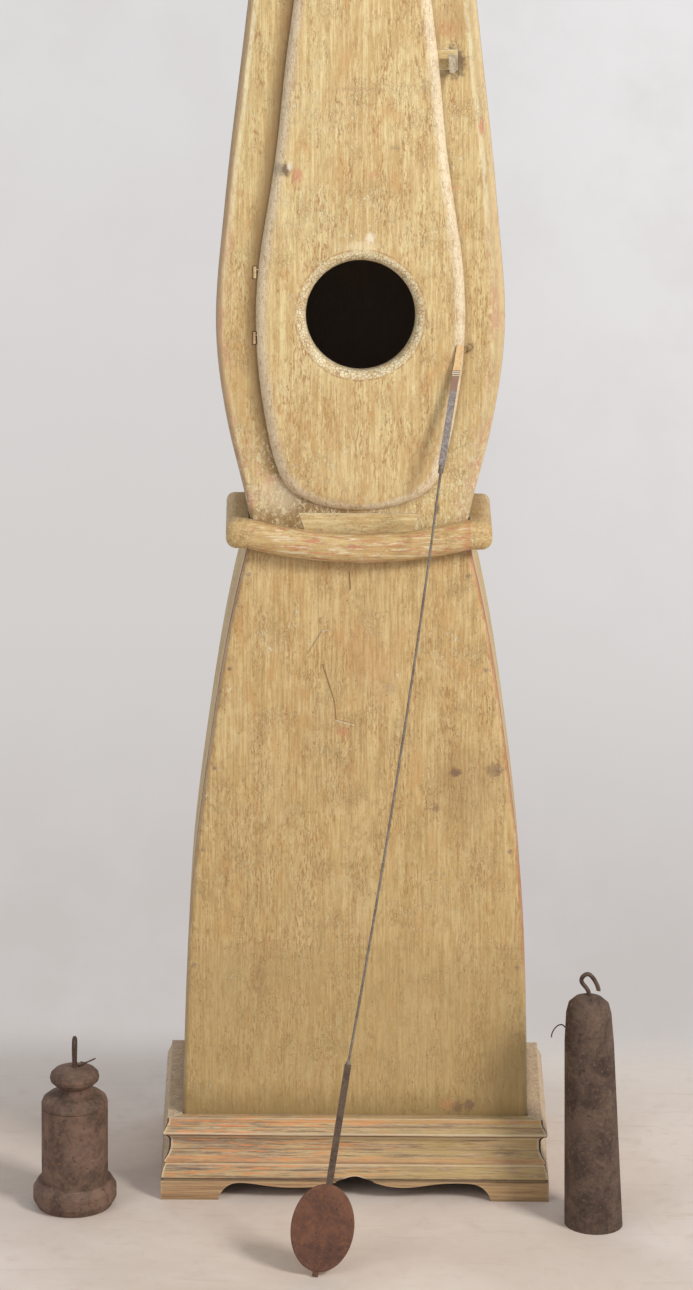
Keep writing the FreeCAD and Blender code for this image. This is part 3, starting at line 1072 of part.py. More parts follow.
bob_middle = bob_foot + s.bob_height / 2
oval = Part.Ellipse(Vector(0, 0, 0), s.bob_height / 2, s.bob_width / 2).toShape()
plate = Part.Face(Part.Wire(oval)).extrude(Vector(0, 0, s.bob_thickness))
plate = plate.rotated(Vector(), Vector(0, 0, 1), 90).rotated(Vector(), Vector(1, 0, 0), 90)
plate = plate.translated(Vector(0, s.bob_thickness / 2, bob_middle))
plate = plate.makeFillet(s.bob_thickness / 3, plate.Edges)
nib = flat(s.nib_width, s.nib_thickness, 0, bob_foot + s.nib_length)
bob = fused(plate, nib)
bar = flat(s.bar_width, s.bar_thickness, bar_foot, wire_foot)
bow = Part.Arc(Vector(0, 0, wire_foot), Vector(s.wire_bow, 0, (wire_foot + ferrule_foot) / 2),
               Vector(0, 0, ferrule_foot + s.ferrule_length / 2)).toShape()
bow_path = Part.Wire(bow)
wire_start = Part.makeCircle(s.wire_radius, Vector(0, 0, wire_foot), bow.tangentAt(bow.FirstParameter))
wire = bow_path.makePipeShell([Part.Wire(wire_start)], True, False)
knot = Part.makeSphere(s.wire_radius * 2, Vector(0, 0, wire_foot + s.wire_radius))
knot = knot.cut(flat(s.bar_width * 2, s.bar_width * 2, wire_foot - s.bar_width, wire_foot))
ferrule = Part.makeCylinder(s.ferrule_radius, s.ferrule_length, Vector(0, 0, ferrule_foot))
spring = flat(s.strip_width, s.strip_thickness, strip_foot, binding_foot)
binding = flat(s.strip_width + s.binding_lap, s.strip_thickness + s.binding_lap, binding_foot, tab_foot)
tab = flat(s.strip_width, s.tab_thickness, tab_foot, length)
laid = FreeCAD.Placement(nib_foot, Rotation(Vector(0, 0, 1), lean))
PENDULUM = {
    "pendulum_bob": bob, "pendulum_bar": bar, "pendulum_rod": fused(wire, knot, ferrule).cut(bar),
    "pendulum_strip": Part.makeCompound([fused(spring, binding), tab]),
}
for name, shape in PENDULUM.items():
    piece = shaped(name, shape)
    piece.Placement = laid
    keep(piece, name)

# Left weight: a turned casting with a flange and a knob, an iron loop and a twist of wire
# The flange's widest part and its upper end, in shares of its height
LOW_SHARE, HIGH_SHARE, END_SHARE = 0.3, 0.7, 0.97
# The shoulder over the body: shares of the step in to the neck and of the rise to it
SHOULDER_SHARES = [(0.91, 0.28), (0.64, 0.52), (0.18, 0.66), (0.0, 0.82), (0.0, 1.0)]
# The knob: shares of its radius and of its height
CROWN_SHARES = [(0.82, 0.17), (0.97, 0.34), (1.0, 0.5), (0.96, 0.68), (0.82, 0.84), (0.5, 0.96), (0.3, 1.0)]
left_y = s.plinth_front_y - s.left_out
left_body = turned("left_weight_turning", [
    ("0", "0"), ("left_foot_radius", "0"), ("left_flange_radius", f"left_flange_height * {LOW_SHARE}"),
    ("left_flange_radius", f"left_flange_height * {HIGH_SHARE}"),
    ("left_foot_radius", f"left_flange_height * {END_SHARE}"), ("left_radius", "left_flange_height"),
    ("left_radius", "left_ring_z"),
    ("left_radius - left_ring_depth", "left_ring_z + left_ring_depth"),
    ("left_radius", "left_ring_z + 2 * left_ring_depth"), ("left_radius", "left_body_top"),
] + [
    (f"left_neck_radius + {w} * (left_radius - left_neck_radius)",
     f"left_body_top + {h} * (left_neck_z - left_body_top)") for w, h in SHOULDER_SHARES
] + [
    (f"{w} * left_knob_radius", f"left_neck_z + {h} * (left_height - left_neck_z)") for w, h in CROWN_SHARES
] + [("0", "left_height")], "left_x", "plinth_front_y - left_out", "0")
keep(left_body, "left_weight")
LOOP_SHARES = [(-0.55, 0.0), (-0.6, 0.3), (-1.0, 0.62), (-0.75, 0.9), (0.0, 1.0), (0.75, 0.9), (1.0, 0.62),
               (0.6, 0.3), (0.55, 0.0)]
left_hook_points = [
    (s.left_x, left_y + w * s.left_hook_half,
     s.left_height + h * s.left_hook_height - s.hook_radius * (h > 0))
    for w, h in LOOP_SHARES
]
keep(less("left_weight_hook", bent_wire("left_loop", left_hook_points, s.hook_radius), left_body),
     "left_weight_hook")
TWIST_SHARES = [(0.05, 0.0, 0.0), (0.5, -0.45, 0.2), (1.1, -0.3, 0.5), (1.65, 0.1, 0.62), (1.2, 0.42, 0.3),
                (0.6, 0.35, 0.12), (0.28, 0.22, 0.25)]
twist_x = s.left_x + s.hook_radius + s.loop_wire_radius + s.rest_clearance
twist_z = s.left_height + s.loop_wire_radius + s.rest_clearance
left_wire_points = [
    (twist_x + a * s.left_loop_radius, left_y + b * s.left_loop_radius, twist_z + c * s.left_loop_radius)
    for a, b, c in TWIST_SHARES
]
keep(bent_wire("left_weight_wire", left_wire_points, s.loop_wire_radius), "left_weight_wire")

# Right weight: a tapered casting that leans a little, an open hook and a scrap of wire
right_y = s.plinth_front_y - s.right_out
LEAN_SHARES = [0.0, 0.85, 0.96, 0.98, 1.0, 1.0]
levels = [
    (0, s.right_foot_radius), (s.right_shoulder_z, s.right_shoulder_radius),
    (s.right_cap_z, s.right_cap_radius), (s.right_brow_z, s.right_brow_radius),
    (s.right_top_z, s.right_top_radius), (s.right_height, s.right_top_radius / 2),
]
rings = [
    Part.Wire(Part.makeCircle(radius, Vector(s.right_x - share * s.right_lean, right_y, z)))
    for share, (z, radius) in zip(LEAN_SHARES, levels)
]
right_body = keep(shaped("right_weight", Part.makeLoft(rings, True, True)), "right_weight")
HOOK_SHARES = [(0.0, 0.0), (-0.35, 0.35), (-1.0, 0.75), (-0.3, 1.0), (0.75, 0.72), (1.3, 0.22)]
hook_x = s.right_x - s.right_lean
right_hook_points = [
    (hook_x + w * s.right_hook_reach, right_y, s.right_height + h * s.right_hook_height)
    for w, h in HOOK_SHARES
]
keep(less("right_weight_hook", bent_wire("right_hook", right_hook_points, s.hook_radius), right_body),
     "right_weight_hook")
scrap_z = (s.right_shoulder_z + s.right_cap_z) / 2
scrap_x = s.right_x - LEAN_SHARES[1] * s.right_lean - s.right_shoulder_radius
SCRAP_SHARES = [(0.0, 0.0, 0.0), (-0.35, -0.1, 0.22), (-0.8, -0.15, -0.1), (-1.0, -0.2, -0.75)]
scrap_points = [
    (scrap_x + a * s.scrap_length, right_y + b * s.scrap_length, scrap_z + c * s.scrap_length)
    for a, b, c in SCRAP_SHARES
]
keep(bent_wire("right_weight_wire", scrap_points, s.scrap_radius), "right_weight_wire")

# Check every object, then write one file for each sub-part
doc.recompute()
for item in doc.Objects:
    if any(word in item.State for word in ("Invalid", "Error")):
        raise RuntimeError(f"{item.Name} ({item.Label}): {item.State}")
labels = [piece.Label for piece in nodes]
if len(set(labels)) != len(labels):
    raise RuntimeError("two sub-parts share a name")
for piece in nodes:
    if piece.Shape.isNull() or not piece.Shape.isValid():
        raise RuntimeError(f"{piece.Label}: no valid shape")
    if not piece.Shape.Solids:
        raise RuntimeError(f"{piece.Label}: not a solid")
for piece in nodes:
    piece.Shape.exportStep(f"parts/{piece.Label}.step")
print(f"{len(nodes)} sub-parts")
for piece in nodes:
    print(f"{piece.Label}: {len(piece.Shape.Solids)} solids, {piece.Shape.Volume / 1000:.1f} cm3")
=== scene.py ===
# %% [markdown]
# # Mora clock
# A tall painted pine clock, photographed from the front with a long lens. The imported CAD part gives every shape
# its place, so the steps below dress those shapes: paint, bare wood, rust and brass, then the floor, the lamps
# and the camera.

# %% Frame
import math

import bpy
from mathutils import Matrix, Vector


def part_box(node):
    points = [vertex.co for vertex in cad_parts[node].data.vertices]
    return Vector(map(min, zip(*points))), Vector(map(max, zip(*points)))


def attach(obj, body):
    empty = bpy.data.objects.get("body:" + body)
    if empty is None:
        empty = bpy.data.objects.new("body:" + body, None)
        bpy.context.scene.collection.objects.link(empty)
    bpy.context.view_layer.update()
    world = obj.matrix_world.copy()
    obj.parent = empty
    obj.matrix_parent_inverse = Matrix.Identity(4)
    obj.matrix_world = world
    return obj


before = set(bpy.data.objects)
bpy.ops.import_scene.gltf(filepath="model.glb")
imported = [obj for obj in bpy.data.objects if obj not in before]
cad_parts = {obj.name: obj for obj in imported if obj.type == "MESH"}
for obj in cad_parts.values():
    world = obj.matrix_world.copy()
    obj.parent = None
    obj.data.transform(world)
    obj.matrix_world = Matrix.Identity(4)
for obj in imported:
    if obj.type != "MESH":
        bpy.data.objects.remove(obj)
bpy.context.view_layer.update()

# %% [markdown]
# ## Values that vary over a surface
# Paint on old wood changes from place to place: streaks follow the grain, wear sits on the edges, dirt in the
# corners. Each of these is a sum or product of simple patterns, so sockets get the signs of arithmetic.

# %% Fields
class Field:
    """An output socket in a material, used like a number."""

    def __init__(self, tree, socket):
        self.tree = tree
        self.socket = socket

    def node(self, kind, settings=None, inputs=None, output=0):
        """Any other node: its settings first, then the values and links of its inputs."""
        made = self.tree.nodes.new(kind)
        for name, value in (settings or {}).items():
            setattr(made, name, value)
        for key, value in (inputs or {}).items():
            if isinstance(value, Field):
                self.tree.links.new(value.socket, made.inputs[key])
            else:
                made.inputs[key].default_value = value
        return Field(self.tree, made.outputs[output])

    def math(self, operation, *values, clamp=False):
        settings = {"operation": operation, "use_clamp": clamp}
        return self.node("ShaderNodeMath", settings, dict(enumerate(values)))

    def __add__(self, other):
        return self.math("ADD", self, other)

    def __radd__(self, other):
        return self.math("ADD", other, self)

    def __sub__(self, other):
        return self.math("SUBTRACT", self, other)

    def __rsub__(self, other):
        return self.math("SUBTRACT", other, self)

    def __mul__(self, other):
        return self.math("MULTIPLY", self, other)

    def __rmul__(self, other):
        return self.math("MULTIPLY", other, self)

    def __truediv__(self, other):
        return self.math("DIVIDE", self, other)

    def __rtruediv__(self, other):
        return self.math("DIVIDE", other, self)

    def __pow__(self, other):
        return self.math("POWER", self, other)

    def __rpow__(self, other):
        return self.math("POWER", other, self)

    def __abs__(self):
        return self.math("ABSOLUTE", self)

    def most(self, other):
        return self.math("MAXIMUM", self, other)

    def held(self):
        """Kept between 0 and 1."""
        return self.math("ADD", self, 0.0, clamp=True)

    def ramp(self, low, high):
        """0 below low, 1 above high, smooth between them; the other way round if low is the higher."""
        if low > high:
            return 1 - self.ramp(high, low)
        settings = {"interpolation_type": "SMOOTHSTEP"}
        return self.node("ShaderNodeMapRange", settings, {0: self, 1: low, 2: high})

    def blend(self, a, b, kind="MIX"):
        """Colour a where this is 0, colour b where it is 1."""
        settings = {"data_type": "RGBA", "blend_type": kind, "clamp_factor": True}
        return self.node("ShaderNodeMix", settings, {0: self, 6: a, 7: b}, 2)


def tone(red, green, blue):
    """A colour in steps of 0 to 255, as the linear colour that a shader takes."""
    shares = [step / 255 for step in (red, green, blue)]
    return tuple(c / 12.92 if c <= 0.04045 else ((c + 0.055) / 1.055) ** 2.4 for c in shares) + (1.0,)


print("a middle grey of 128 is", round(tone(128, 128, 128)[0], 3), "to a shader")

# %% [markdown]
# ## A material under construction
# Every finish starts from the same few patterns: noise stretched along the grain, cells for crackle, a spot or a
# scratch at a known place, and masks for outer edges, tight corners and the faces inside the case. They use the
# object's own coordinates, so the grain stays on its board when a door or a weight moves.

# %% Surfaces
class Surface:
    """A material under construction, with the patterns that its finish is put together from."""

    def __init__(self, name):
        self.material = bpy.data.materials.new(name)
        self.material.use_nodes = True
        self.tree = self.material.node_tree
        self.shader = self.tree.nodes["Principled BSDF"]
        texture = self.tree.nodes.new("ShaderNodeTexCoord")
        self.place = Field(self.tree, texture.outputs["Object"])
        self.facing = Field(self.tree, texture.outputs["Normal"])

    def axes(self, vector=None):
        """The three parts of a vector, or of the place."""
        split = self.place.node("ShaderNodeSeparateXYZ", None, {0: vector or self.place}).socket.node
        return [Field(self.tree, output) for output in split.outputs]

    def flat(self):
        """The place on the front: how far across and how high."""
        return self.axes()[::2]

    def vector(self, operation, *values, output=0):
        """Arithmetic on places and directions; output 1 is a single number."""
        return self.place.node("ShaderNodeVectorMath", {"operation": operation}, dict(enumerate(values)), output)

    def scaled(self, scale, shift):
        """The place in steps of one size, or of three, so that a pattern can run along the grain."""
        steps = (scale,) * 3 if isinstance(scale, (int, float)) else scale
        return self.place.node("ShaderNodeMapping", None, {0: self.place, 1: shift, 3: steps})

    def noise(self, scale, detail=3.0, rough=0.55, twist=0.0, shift=(0, 0, 0)):
        """A cloudy pattern; scale is in clouds per metre."""
        return self.place.node("ShaderNodeTexNoise", None, {
            "Vector": self.scaled(scale, shift), "Scale": 1.0, "Detail": detail, "Roughness": rough,
            "Distortion": twist})

    def cells(self, scale, feature="F1", shift=(0, 0, 0)):
        """Grains or flakes: the distance to scattered points, or to the borders between them."""
        return self.place.node("ShaderNodeTexVoronoi", {"feature": feature},
                               {"Vector": self.scaled(scale, shift), "Scale": 1.0})

    def spot(self, x, z, wide, high, wobble):
        """1 at a place on the front, falling to 0 at the spot's ragged edge."""
        moved = self.vector("SUBTRACT", self.place, (x, 0, z))
        sized = self.vector("MULTIPLY", moved, (1 / wide, 0, 1 / high))
        return (self.vector("LENGTH", sized, output=1) + wobble).ramp(1.0, 0.35)

    def scratch(self, x0, z0, x1, z1, width):
        """1 along a straight scratch on the front, 0 beyond its width."""
        x, z = self.flat()
        dx, dz = x1 - x0, z1 - z0
        along_it = (((x - x0) * dx + (z - z0) * dz) / (dx * dx + dz * dz)).held()
        reach = ((x - x0 - along_it * dx) ** 2 + (z - z0 - along_it * dz) ** 2) ** 0.5
        return reach.ramp(width, width * 0.3)

    def edges(self, radius):
        """Up to 1 along outer edges, within the radius."""
        softened = self.place.node("ShaderNodeBevel", {"samples": 4}, {"Radius": radius})
        true = self.place.node("ShaderNodeNewGeometry", output="Normal")
        return (1 - self.vector("DOT_PRODUCT", softened, true, output=1)).held()

    def corners(self, reach):
        """1 in tight corners, where grime settles and where shade is painted into a colour."""
        return 1 - self.place.node("ShaderNodeAmbientOcclusion", {"samples": 6}, {"Distance": reach}, 1)

    def inner(self, side):
        """1 on the faces that look into the case, for pieces of its front, its sides or its back."""
        x, y = self.axes(self.facing)[:2]
        if side == "sides":
            return (x * x.math("SIGN", self.axes()[0])).ramp(-0.3, -0.7)
        return y.ramp(-0.3, -0.7) if side == "back" else y.ramp(0.3, 0.7)

    def finish(self, colour, rough, height=None, depth=0.0004, strength=0.5, **constants):
        """Links the finished patterns to the shader."""
        for name, value in {"Base Color": colour, "Roughness": rough, **constants}.items():
            if isinstance(value, Field):
                self.tree.links.new(value.socket, self.shader.inputs[name])
            else:
                self.shader.inputs[name].default_value = value
        if height is not None:
            bump = self.place.node("ShaderNodeBump", None,
                                   {"Height": height, "Distance": depth, "Strength": strength})
            self.tree.links.new(bump.socket, self.shader.inputs["Normal"])
        return self.material


def along(axis, fine, coarse):
    """Three factors, coarse along the grain's axis and fine across it."""
    return tuple(coarse if name == axis else fine for name in "xyz")


print("grain along z:", along("z", 420, 30))

# %% [markdown]
# ## Coats of paint
# Straw-coloured oil paint, brushed on in several coats. The brush and the grain leave fine upright lines. Each
# line is noise stretched along the grain, and six of them, from hand-wide clouds down to single bristles, look
# right from near and from far, where a picture of paint would blur.

# %% Coats of paint
def coats(wood, axis, light, body, deep):
    """The brushed paint and its relief, with the patterns that later layers follow."""
    clouds = wood.noise(along(axis, 20, 9), 5, 0.65)
    small = wood.noise(along(axis, 80, 30), 5, 0.7, 0.3, (3.1, 1.7, 5.2))
    brush = wood.noise(along(axis, 420, 30), 4, 0.62, 0.0, (7, 3, 2))
    lines = wood.noise(along(axis, 360, 6), 3, 0.55, 0.0, (4, 4, 7))
    hair = wood.noise(along(axis, 700, 60), 3, 0.65)
    grit = wood.noise(along(axis, 560, 330), 4, 0.75)
    colour = clouds.ramp(0.36, 0.62).blend(tone(203, 163, 108), body)
    for pattern, low, high, strength, shade in (
            (small, 0.5, 0.68, 0.55, light), (small, 0.46, 0.32, 0.55, deep),
            (brush, 0.5, 0.62, 0.6, light), (brush, 0.48, 0.36, 0.8, deep),
            (lines, 0.52, 0.66, 0.5, light), (lines, 0.47, 0.35, 0.5, deep),
            (hair, 0.54, 0.7, 0.5, tone(172, 138, 92)), (grit, 0.55, 0.7, 0.5, light),
            (grit, 0.44, 0.3, 0.4, tone(176, 142, 96))):
        colour = (pattern.ramp(low, high) * strength).blend(colour, shade)
    relief = brush * 0.6 + hair * 0.3 + small * 0.3 + grit * 0.4
    return colour, relief, clouds, small, brush


print("coats: six patterns")

# %% [markdown]
# ## Paint worn through
# Years of dusting bared red-brown wood, or an older coat, in upright bands of short dashes. Brown dots and
# smudges lie between them, and the top coat is crazed in places and flaked off in others. Two patterns are
# multiplied for most of them: a fine one draws the marks and a broad one says where they gather.

# %% Paint worn through
def worn_through(wood, axis, colour, rub):
    """Bared dashes, dots, smudges, crackle and flakes, with the dashes' mask and the relief that is lost."""
    bands = wood.noise(along(axis, 44, 12), 5, 0.7, 0.0, (5, 5, 1)).ramp(0.44, 0.6)
    dash = wood.noise(along(axis, 520, 120), 4, 0.65, 0.6, (1, 9, 4))
    rubbed = dash.ramp(0.52, 0.61) * (bands * 0.85 + 0.15)
    colour = (rubbed * rub).blend(colour, tone(178, 122, 72))
    dots = wood.noise(along(axis, 420, 230), 3, 0.6, 0.8, (3, 7, 1)).ramp(0.6, 0.66)
    dots = dots * wood.noise(along(axis, 26, 12), 4, 0.65, 0.0, (2, 8, 3)).ramp(0.5, 0.62)
    colour = (dots * 0.65).blend(colour, tone(150, 104, 70))
    smudge = wood.noise(along(axis, 60, 40), 5, 0.72, 0.8, (2, 2, 8)).ramp(0.56, 0.7)
    colour = (smudge * 0.5).blend(colour, tone(172, 138, 92))
    tint = wood.noise(along(axis, 34, 16), 5, 0.7, 0.4, (6, 1, 5)).ramp(0.54, 0.68)
    colour = (tint * 0.6).blend(colour, tone(204, 154, 98))
    crackle = wood.cells(along(axis, 300, 170), "DISTANCE_TO_EDGE", (0.2, 0.1, 0.4)).ramp(0.1, 0.03)
    crackle = crackle * wood.noise(24, 4, 0.65, 0.0, (1, 7, 7)).ramp(0.52, 0.62)
    colour = (crackle * 0.3).blend(colour, tone(150, 114, 78))
    flake = wood.noise(along(axis, 190, 110), 5, 0.75, 0.5, (9, 3, 3)).ramp(0.56, 0.62)
    chips = flake * wood.noise(12, 4, 0.6, 0.0, (9, 1, 6)).ramp(0.52, 0.62)
    colour = (chips * 0.65).blend(colour, tone(238, 222, 190))
    return colour, rubbed, rubbed * 0.6 + chips * 0.7 + crackle * 0.5


print("wear: dashes, dots, smudges, tints, crackle and flakes")

# %% [markdown]
# ## Rubbed edges and a dirty foot
# Hands and cloths rub the edges to a pale pinkish grey with sore red spots. Near the floor there is a tide line,
# and the paint grows darker and browner towards the plinth, most of all on the right. The Bevel node finds the
# edges by shading alone, so the mesh stays as it is, and heights in metres place the tide line.

# %% Rubbed edges and a dirty foot
SIDE_BORDER = (-0.19, -0.225)  # depths between which the pale border of the case's sides begins
TIDE_LINE = 0.316


def rubbed_edges(wood, axis, colour, red, pale, slope, near_front):
    """Pale and sore edges, near the front alone if asked for, and the mask of where they are."""
    border = wood.edges(0.006).ramp(0.015, 0.16) * 0.6
    if slope is not None:
        leaning = (1 - abs(wood.axes(wood.facing)[1])).ramp(*slope)
        border = border.most(leaning * wood.axes()[1].ramp(*SIDE_BORDER) if near_front else leaning)
    if pale > 0:
        mottled = wood.noise(along(axis, 160, 45), 5, 0.7, 0.5, (4, 4, 4))
        colour = (border * mottled.ramp(0.3, 0.58) * pale).blend(colour, tone(230, 210, 186))
        colour = (border * mottled.ramp(0.46, 0.35) * 0.5).blend(colour, tone(172, 140, 108))
    sore = wood.noise(along(axis, 230, 70), 4, 0.7, 0.6, (6, 2, 3)).ramp(0.57, 0.64)
    return (sore * border.most(0.15) * red * 2).blend(colour, tone(188, 112, 84)), border


def soiled_foot(wood, colour, clouds, small):
    """The tide line, a darkening towards the bottom and the lower right, and a few dark specks."""
    x, z = wood.flat()
    line = (z + (wood.noise(18, 3) - 0.5) * 0.012).ramp(0.328, 0.298)
    # The tide line's stain, and the paint a little darker from 0.7 m down
    colour = (line * 0.3 + z.ramp(0.7, 0.3) * 0.2).blend(colour, tone(178, 150, 98))
    rim = (1 - abs(z - TIDE_LINE) / 0.005).held() * wood.noise(30, 3).ramp(0.45, 0.6)
    colour = (rim * 0.25).blend(colour, tone(150, 124, 80))
    # Darker and browner towards the bottom, most of all on the lower right
    darker_low = (z + (small - 0.5) * 0.05).ramp(0.15, 0.108) * 0.5
    darker_low = darker_low.most(z.ramp(0.3, 0.12) * x.ramp(0.08, 0.2) * 0.35)
    colour = darker_low.blend(colour, tone(134, 108, 62))
    specks = wood.cells(95, shift=(0.5, 0.2, 0.8)).ramp(0.13, 0.07) * clouds.ramp(0.45, 0.6)
    return (specks * 0.6).blend(colour, tone(112, 86, 56))


print("tide line at", TIDE_LINE, "m")

# %% [markdown]
# ## Painted pine
# One function puts the layers on in the order the real clock got them: paint, wear, grime in the corners
# (darkened further there as painted shade), what only that piece has, varnish, then knocks and scratches. The
# faces inside the case were never painted. All boards were painted with one brush from one pot, so one recipe
# with a few settings serves them all.

# %% Painted pine
UNLIT = tone(40, 28, 20)
SEAM_DEPTH = (-0.2325, -0.2365)  # the joint between the side boards and the front


def marked(wood, colour, height, marks, scratches):
    """Knots, chips and stains with ragged edges, and straight scratches, each in its own place."""
    wobble = (wood.noise(90, 5, 0.75) - 0.5) * 1.2 + (wood.noise(300, 4, 0.75) - 0.5) * 1.2
    for x, z, wide, high, shade, strength in marks:
        spot = wood.spot(x, z, wide, high, wobble)
        colour = (spot * strength).blend(colour, shade)
        height = height - spot * (0.6 * strength)
    for x0, z0, x1, z1, width, shade, strength in scratches:
        cut = wood.scratch(x0, z0, x1, z1, width)
        colour = (cut * strength).blend(colour, shade)
        height = height - cut * 1.5
    return colour, height


def painted(name, axis="z", light=tone(236, 214, 166), body=tone(221, 191, 141), deep=tone(200, 168, 117),
            rub=0.8, red=0.25, pale=0.8, slope=(0.1, 0.45), marks=(), scratches=(), low=False, side=None,
            bare_back=False, seam=None, own=None):
    """Worn straw paint over pine.

    axis is the grain's direction, and light, body and deep are the paint's tones. rub, red and pale say how much
    bared wood, sore red and pale rubbing there is. A face that leans from the front by the first figure of slope
    has no pale border, and by the second a full one. marks are (x, z, width, height, colour, strength) and
    scratches (x, z, x, z, width, colour, strength). low pieces reach down to the plinth. side says where in the
    case the piece is, for its unpainted inner face, which is bare wood or else too dark to see. seam is the
    colour of the stained joint behind the front, and own a function with what only this piece has.
    """
    wood = Surface(name)
    colour, relief, clouds, small, brush = coats(wood, axis, light, body, deep)
    colour, rubbed, lost = worn_through(wood, axis, colour, rub)
    colour, border = rubbed_edges(wood, axis, colour, red, pale, slope, side == "sides")
    # Grime and painted shade: brown laid into the corners, within 35 mm of a step
    dirt_and_shade = wood.corners(0.035).ramp(0.15, 0.8)
    colour = (dirt_and_shade * 0.75).blend(colour, tone(140, 110, 72))
    if own is not None:
        colour = own(wood, colour)
    # The varnish has gone slightly olive over it all
    colour = (0.85 + small * 0.3).held().blend(colour, tone(247, 251, 243), "MULTIPLY")
    if low:
        colour = soiled_foot(wood, colour, clouds, small)
    if seam is not None:
        colour = (wood.axes()[1].ramp(*SEAM_DEPTH) * 0.75).blend(colour, seam)
    colour, height = marked(wood, colour, relief - lost, marks, scratches)
    if side is not None:
        back = brush.ramp(0.36, 0.62).blend(tone(140, 108, 76), tone(178, 146, 104)) if bare_back else UNLIT
        colour = wood.inner(side).blend(colour, back)
    rough = 0.5 + small * 0.12 + rubbed * 0.15 + dirt_and_shade * 0.1 - border * 0.08
    return wood.finish(colour, rough, height, 0.0011, 0.6)


print("unlit wood:", [round(part, 3) for part in UNLIT[:3]])

# %% [markdown]
# ## Outlines of the boards
# The wear follows the curved edges of the frame, the door and the lower board. Their half widths are read off
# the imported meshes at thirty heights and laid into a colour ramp, red for the half width and green for the
# slope, so that a material knows how far inside the outline it is.

# %% Outlines
def outline(node, levels=30):
    """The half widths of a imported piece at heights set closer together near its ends, each with its slope."""
    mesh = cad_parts[node].data
    low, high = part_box(node)
    points = [vertex.co for vertex in mesh.vertices]
    spans = [(points[a], points[b]) for a, b in (edge.vertices for edge in mesh.edges)]
    found = []
    for step in range(levels):
        share = 0.5 - 0.5 * math.cos(math.pi * (step + 0.25) / (levels - 0.5))
        z = low[2] + (high[2] - low[2]) * share
        crossing = [(p, q) for p, q in spans if (p.z - z) * (q.z - z) < 0]
        reach = [abs(p.x + (q.x - p.x) * (z - p.z) / (q.z - p.z)) for p, q in crossing]
        found.append((share, z, max(reach)))
    lines = []
    for index, (share, z, half) in enumerate(found):
        before, after = found[max(index - 1, 0)], found[min(index + 1, levels - 1)]
        slope = (after[2] - before[2]) / (after[1] - before[1])
        lines.append((share, half, 1 / math.sqrt(1 + slope * slope)))
    return low[2], high[2], lines


def inside(wood, shape):
    """How far a place lies inside a piece's outline, in metres."""
    low, high, lines = shape
    x, z = wood.flat()
    made = z.node("ShaderNodeValToRGB", None, {0: (z - low) / (high - low)})
    stops = made.socket.node.color_ramp.elements
    while len(stops) < len(lines):
        stops.new(0.5)
    for stop, (share, half, lean) in zip(stops, lines):
        stop.position = share
        stop.color = (half, lean, 0.0, 1.0)
    half, lean = wood.axes(made)[:2]
    return (half - abs(x)) * lean


FRAME_SHAPE, DOOR_SHAPE = outline("waist_front_frame"), outline("waist_door")
BOARD_SHAPE = outline("lower_front_board")
halves = [half for share, half, lean in DOOR_SHAPE[2]]
print("door half widths", round(min(halves), 3), "to", round(max(halves), 3))

# %% [markdown]
# ## What only the door has
# The door's rounded edge is rubbed pale and finely cracked, and the pale band also stands in as a painted
# highlight on the rounding. The turned edge of its round window is crackled inside a thin reddish line. Both are
# rings at a distance: from the outline above, and from the window's centre. Grime and painted shade darken the
# door's tight corners.

# %% Door's wear
WINDOW_Z = 1.1067
RIM = 0.0795  # radius of the window's turned edge


def door_finish(wood, colour):
    """Rubbed pale along the rounding, partly as a painted highlight, with the window's edge crackled inside a
    reddish line and grime with painted shade in the corners.
    """
    x, z = wood.flat()
    left = x.ramp(0.02, -0.02)
    ragged = (wood.noise((60, 60, 16), 4, 0.65, 0.0, (3, 1, 9)) - 0.5) * 0.008
    near = inside(wood, DOOR_SHAPE) + ragged
    broken = wood.noise((200, 200, 60), 4, 0.75, 0.0, (8, 2, 5)).ramp(0.36, 0.56)
    stain = wood.noise((70, 70, 18), 5, 0.75, 0.4, (4, 1, 2)).ramp(0.44, 0.6) * z.ramp(1.05, 0.99)
    colour = (stain * 0.45).blend(colour, tone(190, 140, 86))
    # Rubbed pale paint and a painted highlight, in one band along the rounding
    band = near.ramp(0.017, 0.007) * (0.3 + broken * 0.5)
    colour = band.blend(colour, left.blend(tone(236, 216, 190), tone(236, 212, 184)))
    cracks = wood.cells((300, 300, 150), "DISTANCE_TO_EDGE", (0.9, 0.1, 0.3)).ramp(0.09, 0.03)
    cracks = near.ramp(0.016, 0.01) * cracks * (1 - broken * 0.6)
    colour = (cracks * 0.6).blend(colour, tone(158, 118, 92))
    ragged = (wood.noise(50, 4, 0.7, 0.0, (3, 3, 1)) - 0.5) * 0.004
    reach = (x ** 2 + (z - WINDOW_Z) ** 2) ** 0.5 + ragged
    ring = reach.ramp(RIM, RIM - 0.0025)
    patch = wood.noise(90, 4, 0.7).ramp(0.4, 0.56)
    colour = (ring * 0.8).blend(colour, patch.blend(tone(222, 190, 146), tone(240, 222, 188)))
    crack = wood.cells(230, "DISTANCE_TO_EDGE", (0.6, 0.1, 0.9)).ramp(0.11, 0.03)
    colour = (ring * crack * 0.6).blend(colour, tone(124, 92, 66))
    broken = wood.noise(120, 4, 0.7, 0.0, (1, 3, 5)).ramp(0.4, 0.55)
    line = (1 - abs(reach - RIM) / 0.0016).held() * broken
    colour = (line * 0.7).blend(colour, tone(162, 108, 76))
    # Grime and painted shade in the door's tight corners
    return (wood.corners(0.01).ramp(0.2, 0.7) * 0.5).blend(colour, tone(150, 112, 72))


print("window's edge:", RIM, "m round a centre at", WINDOW_Z, "m")

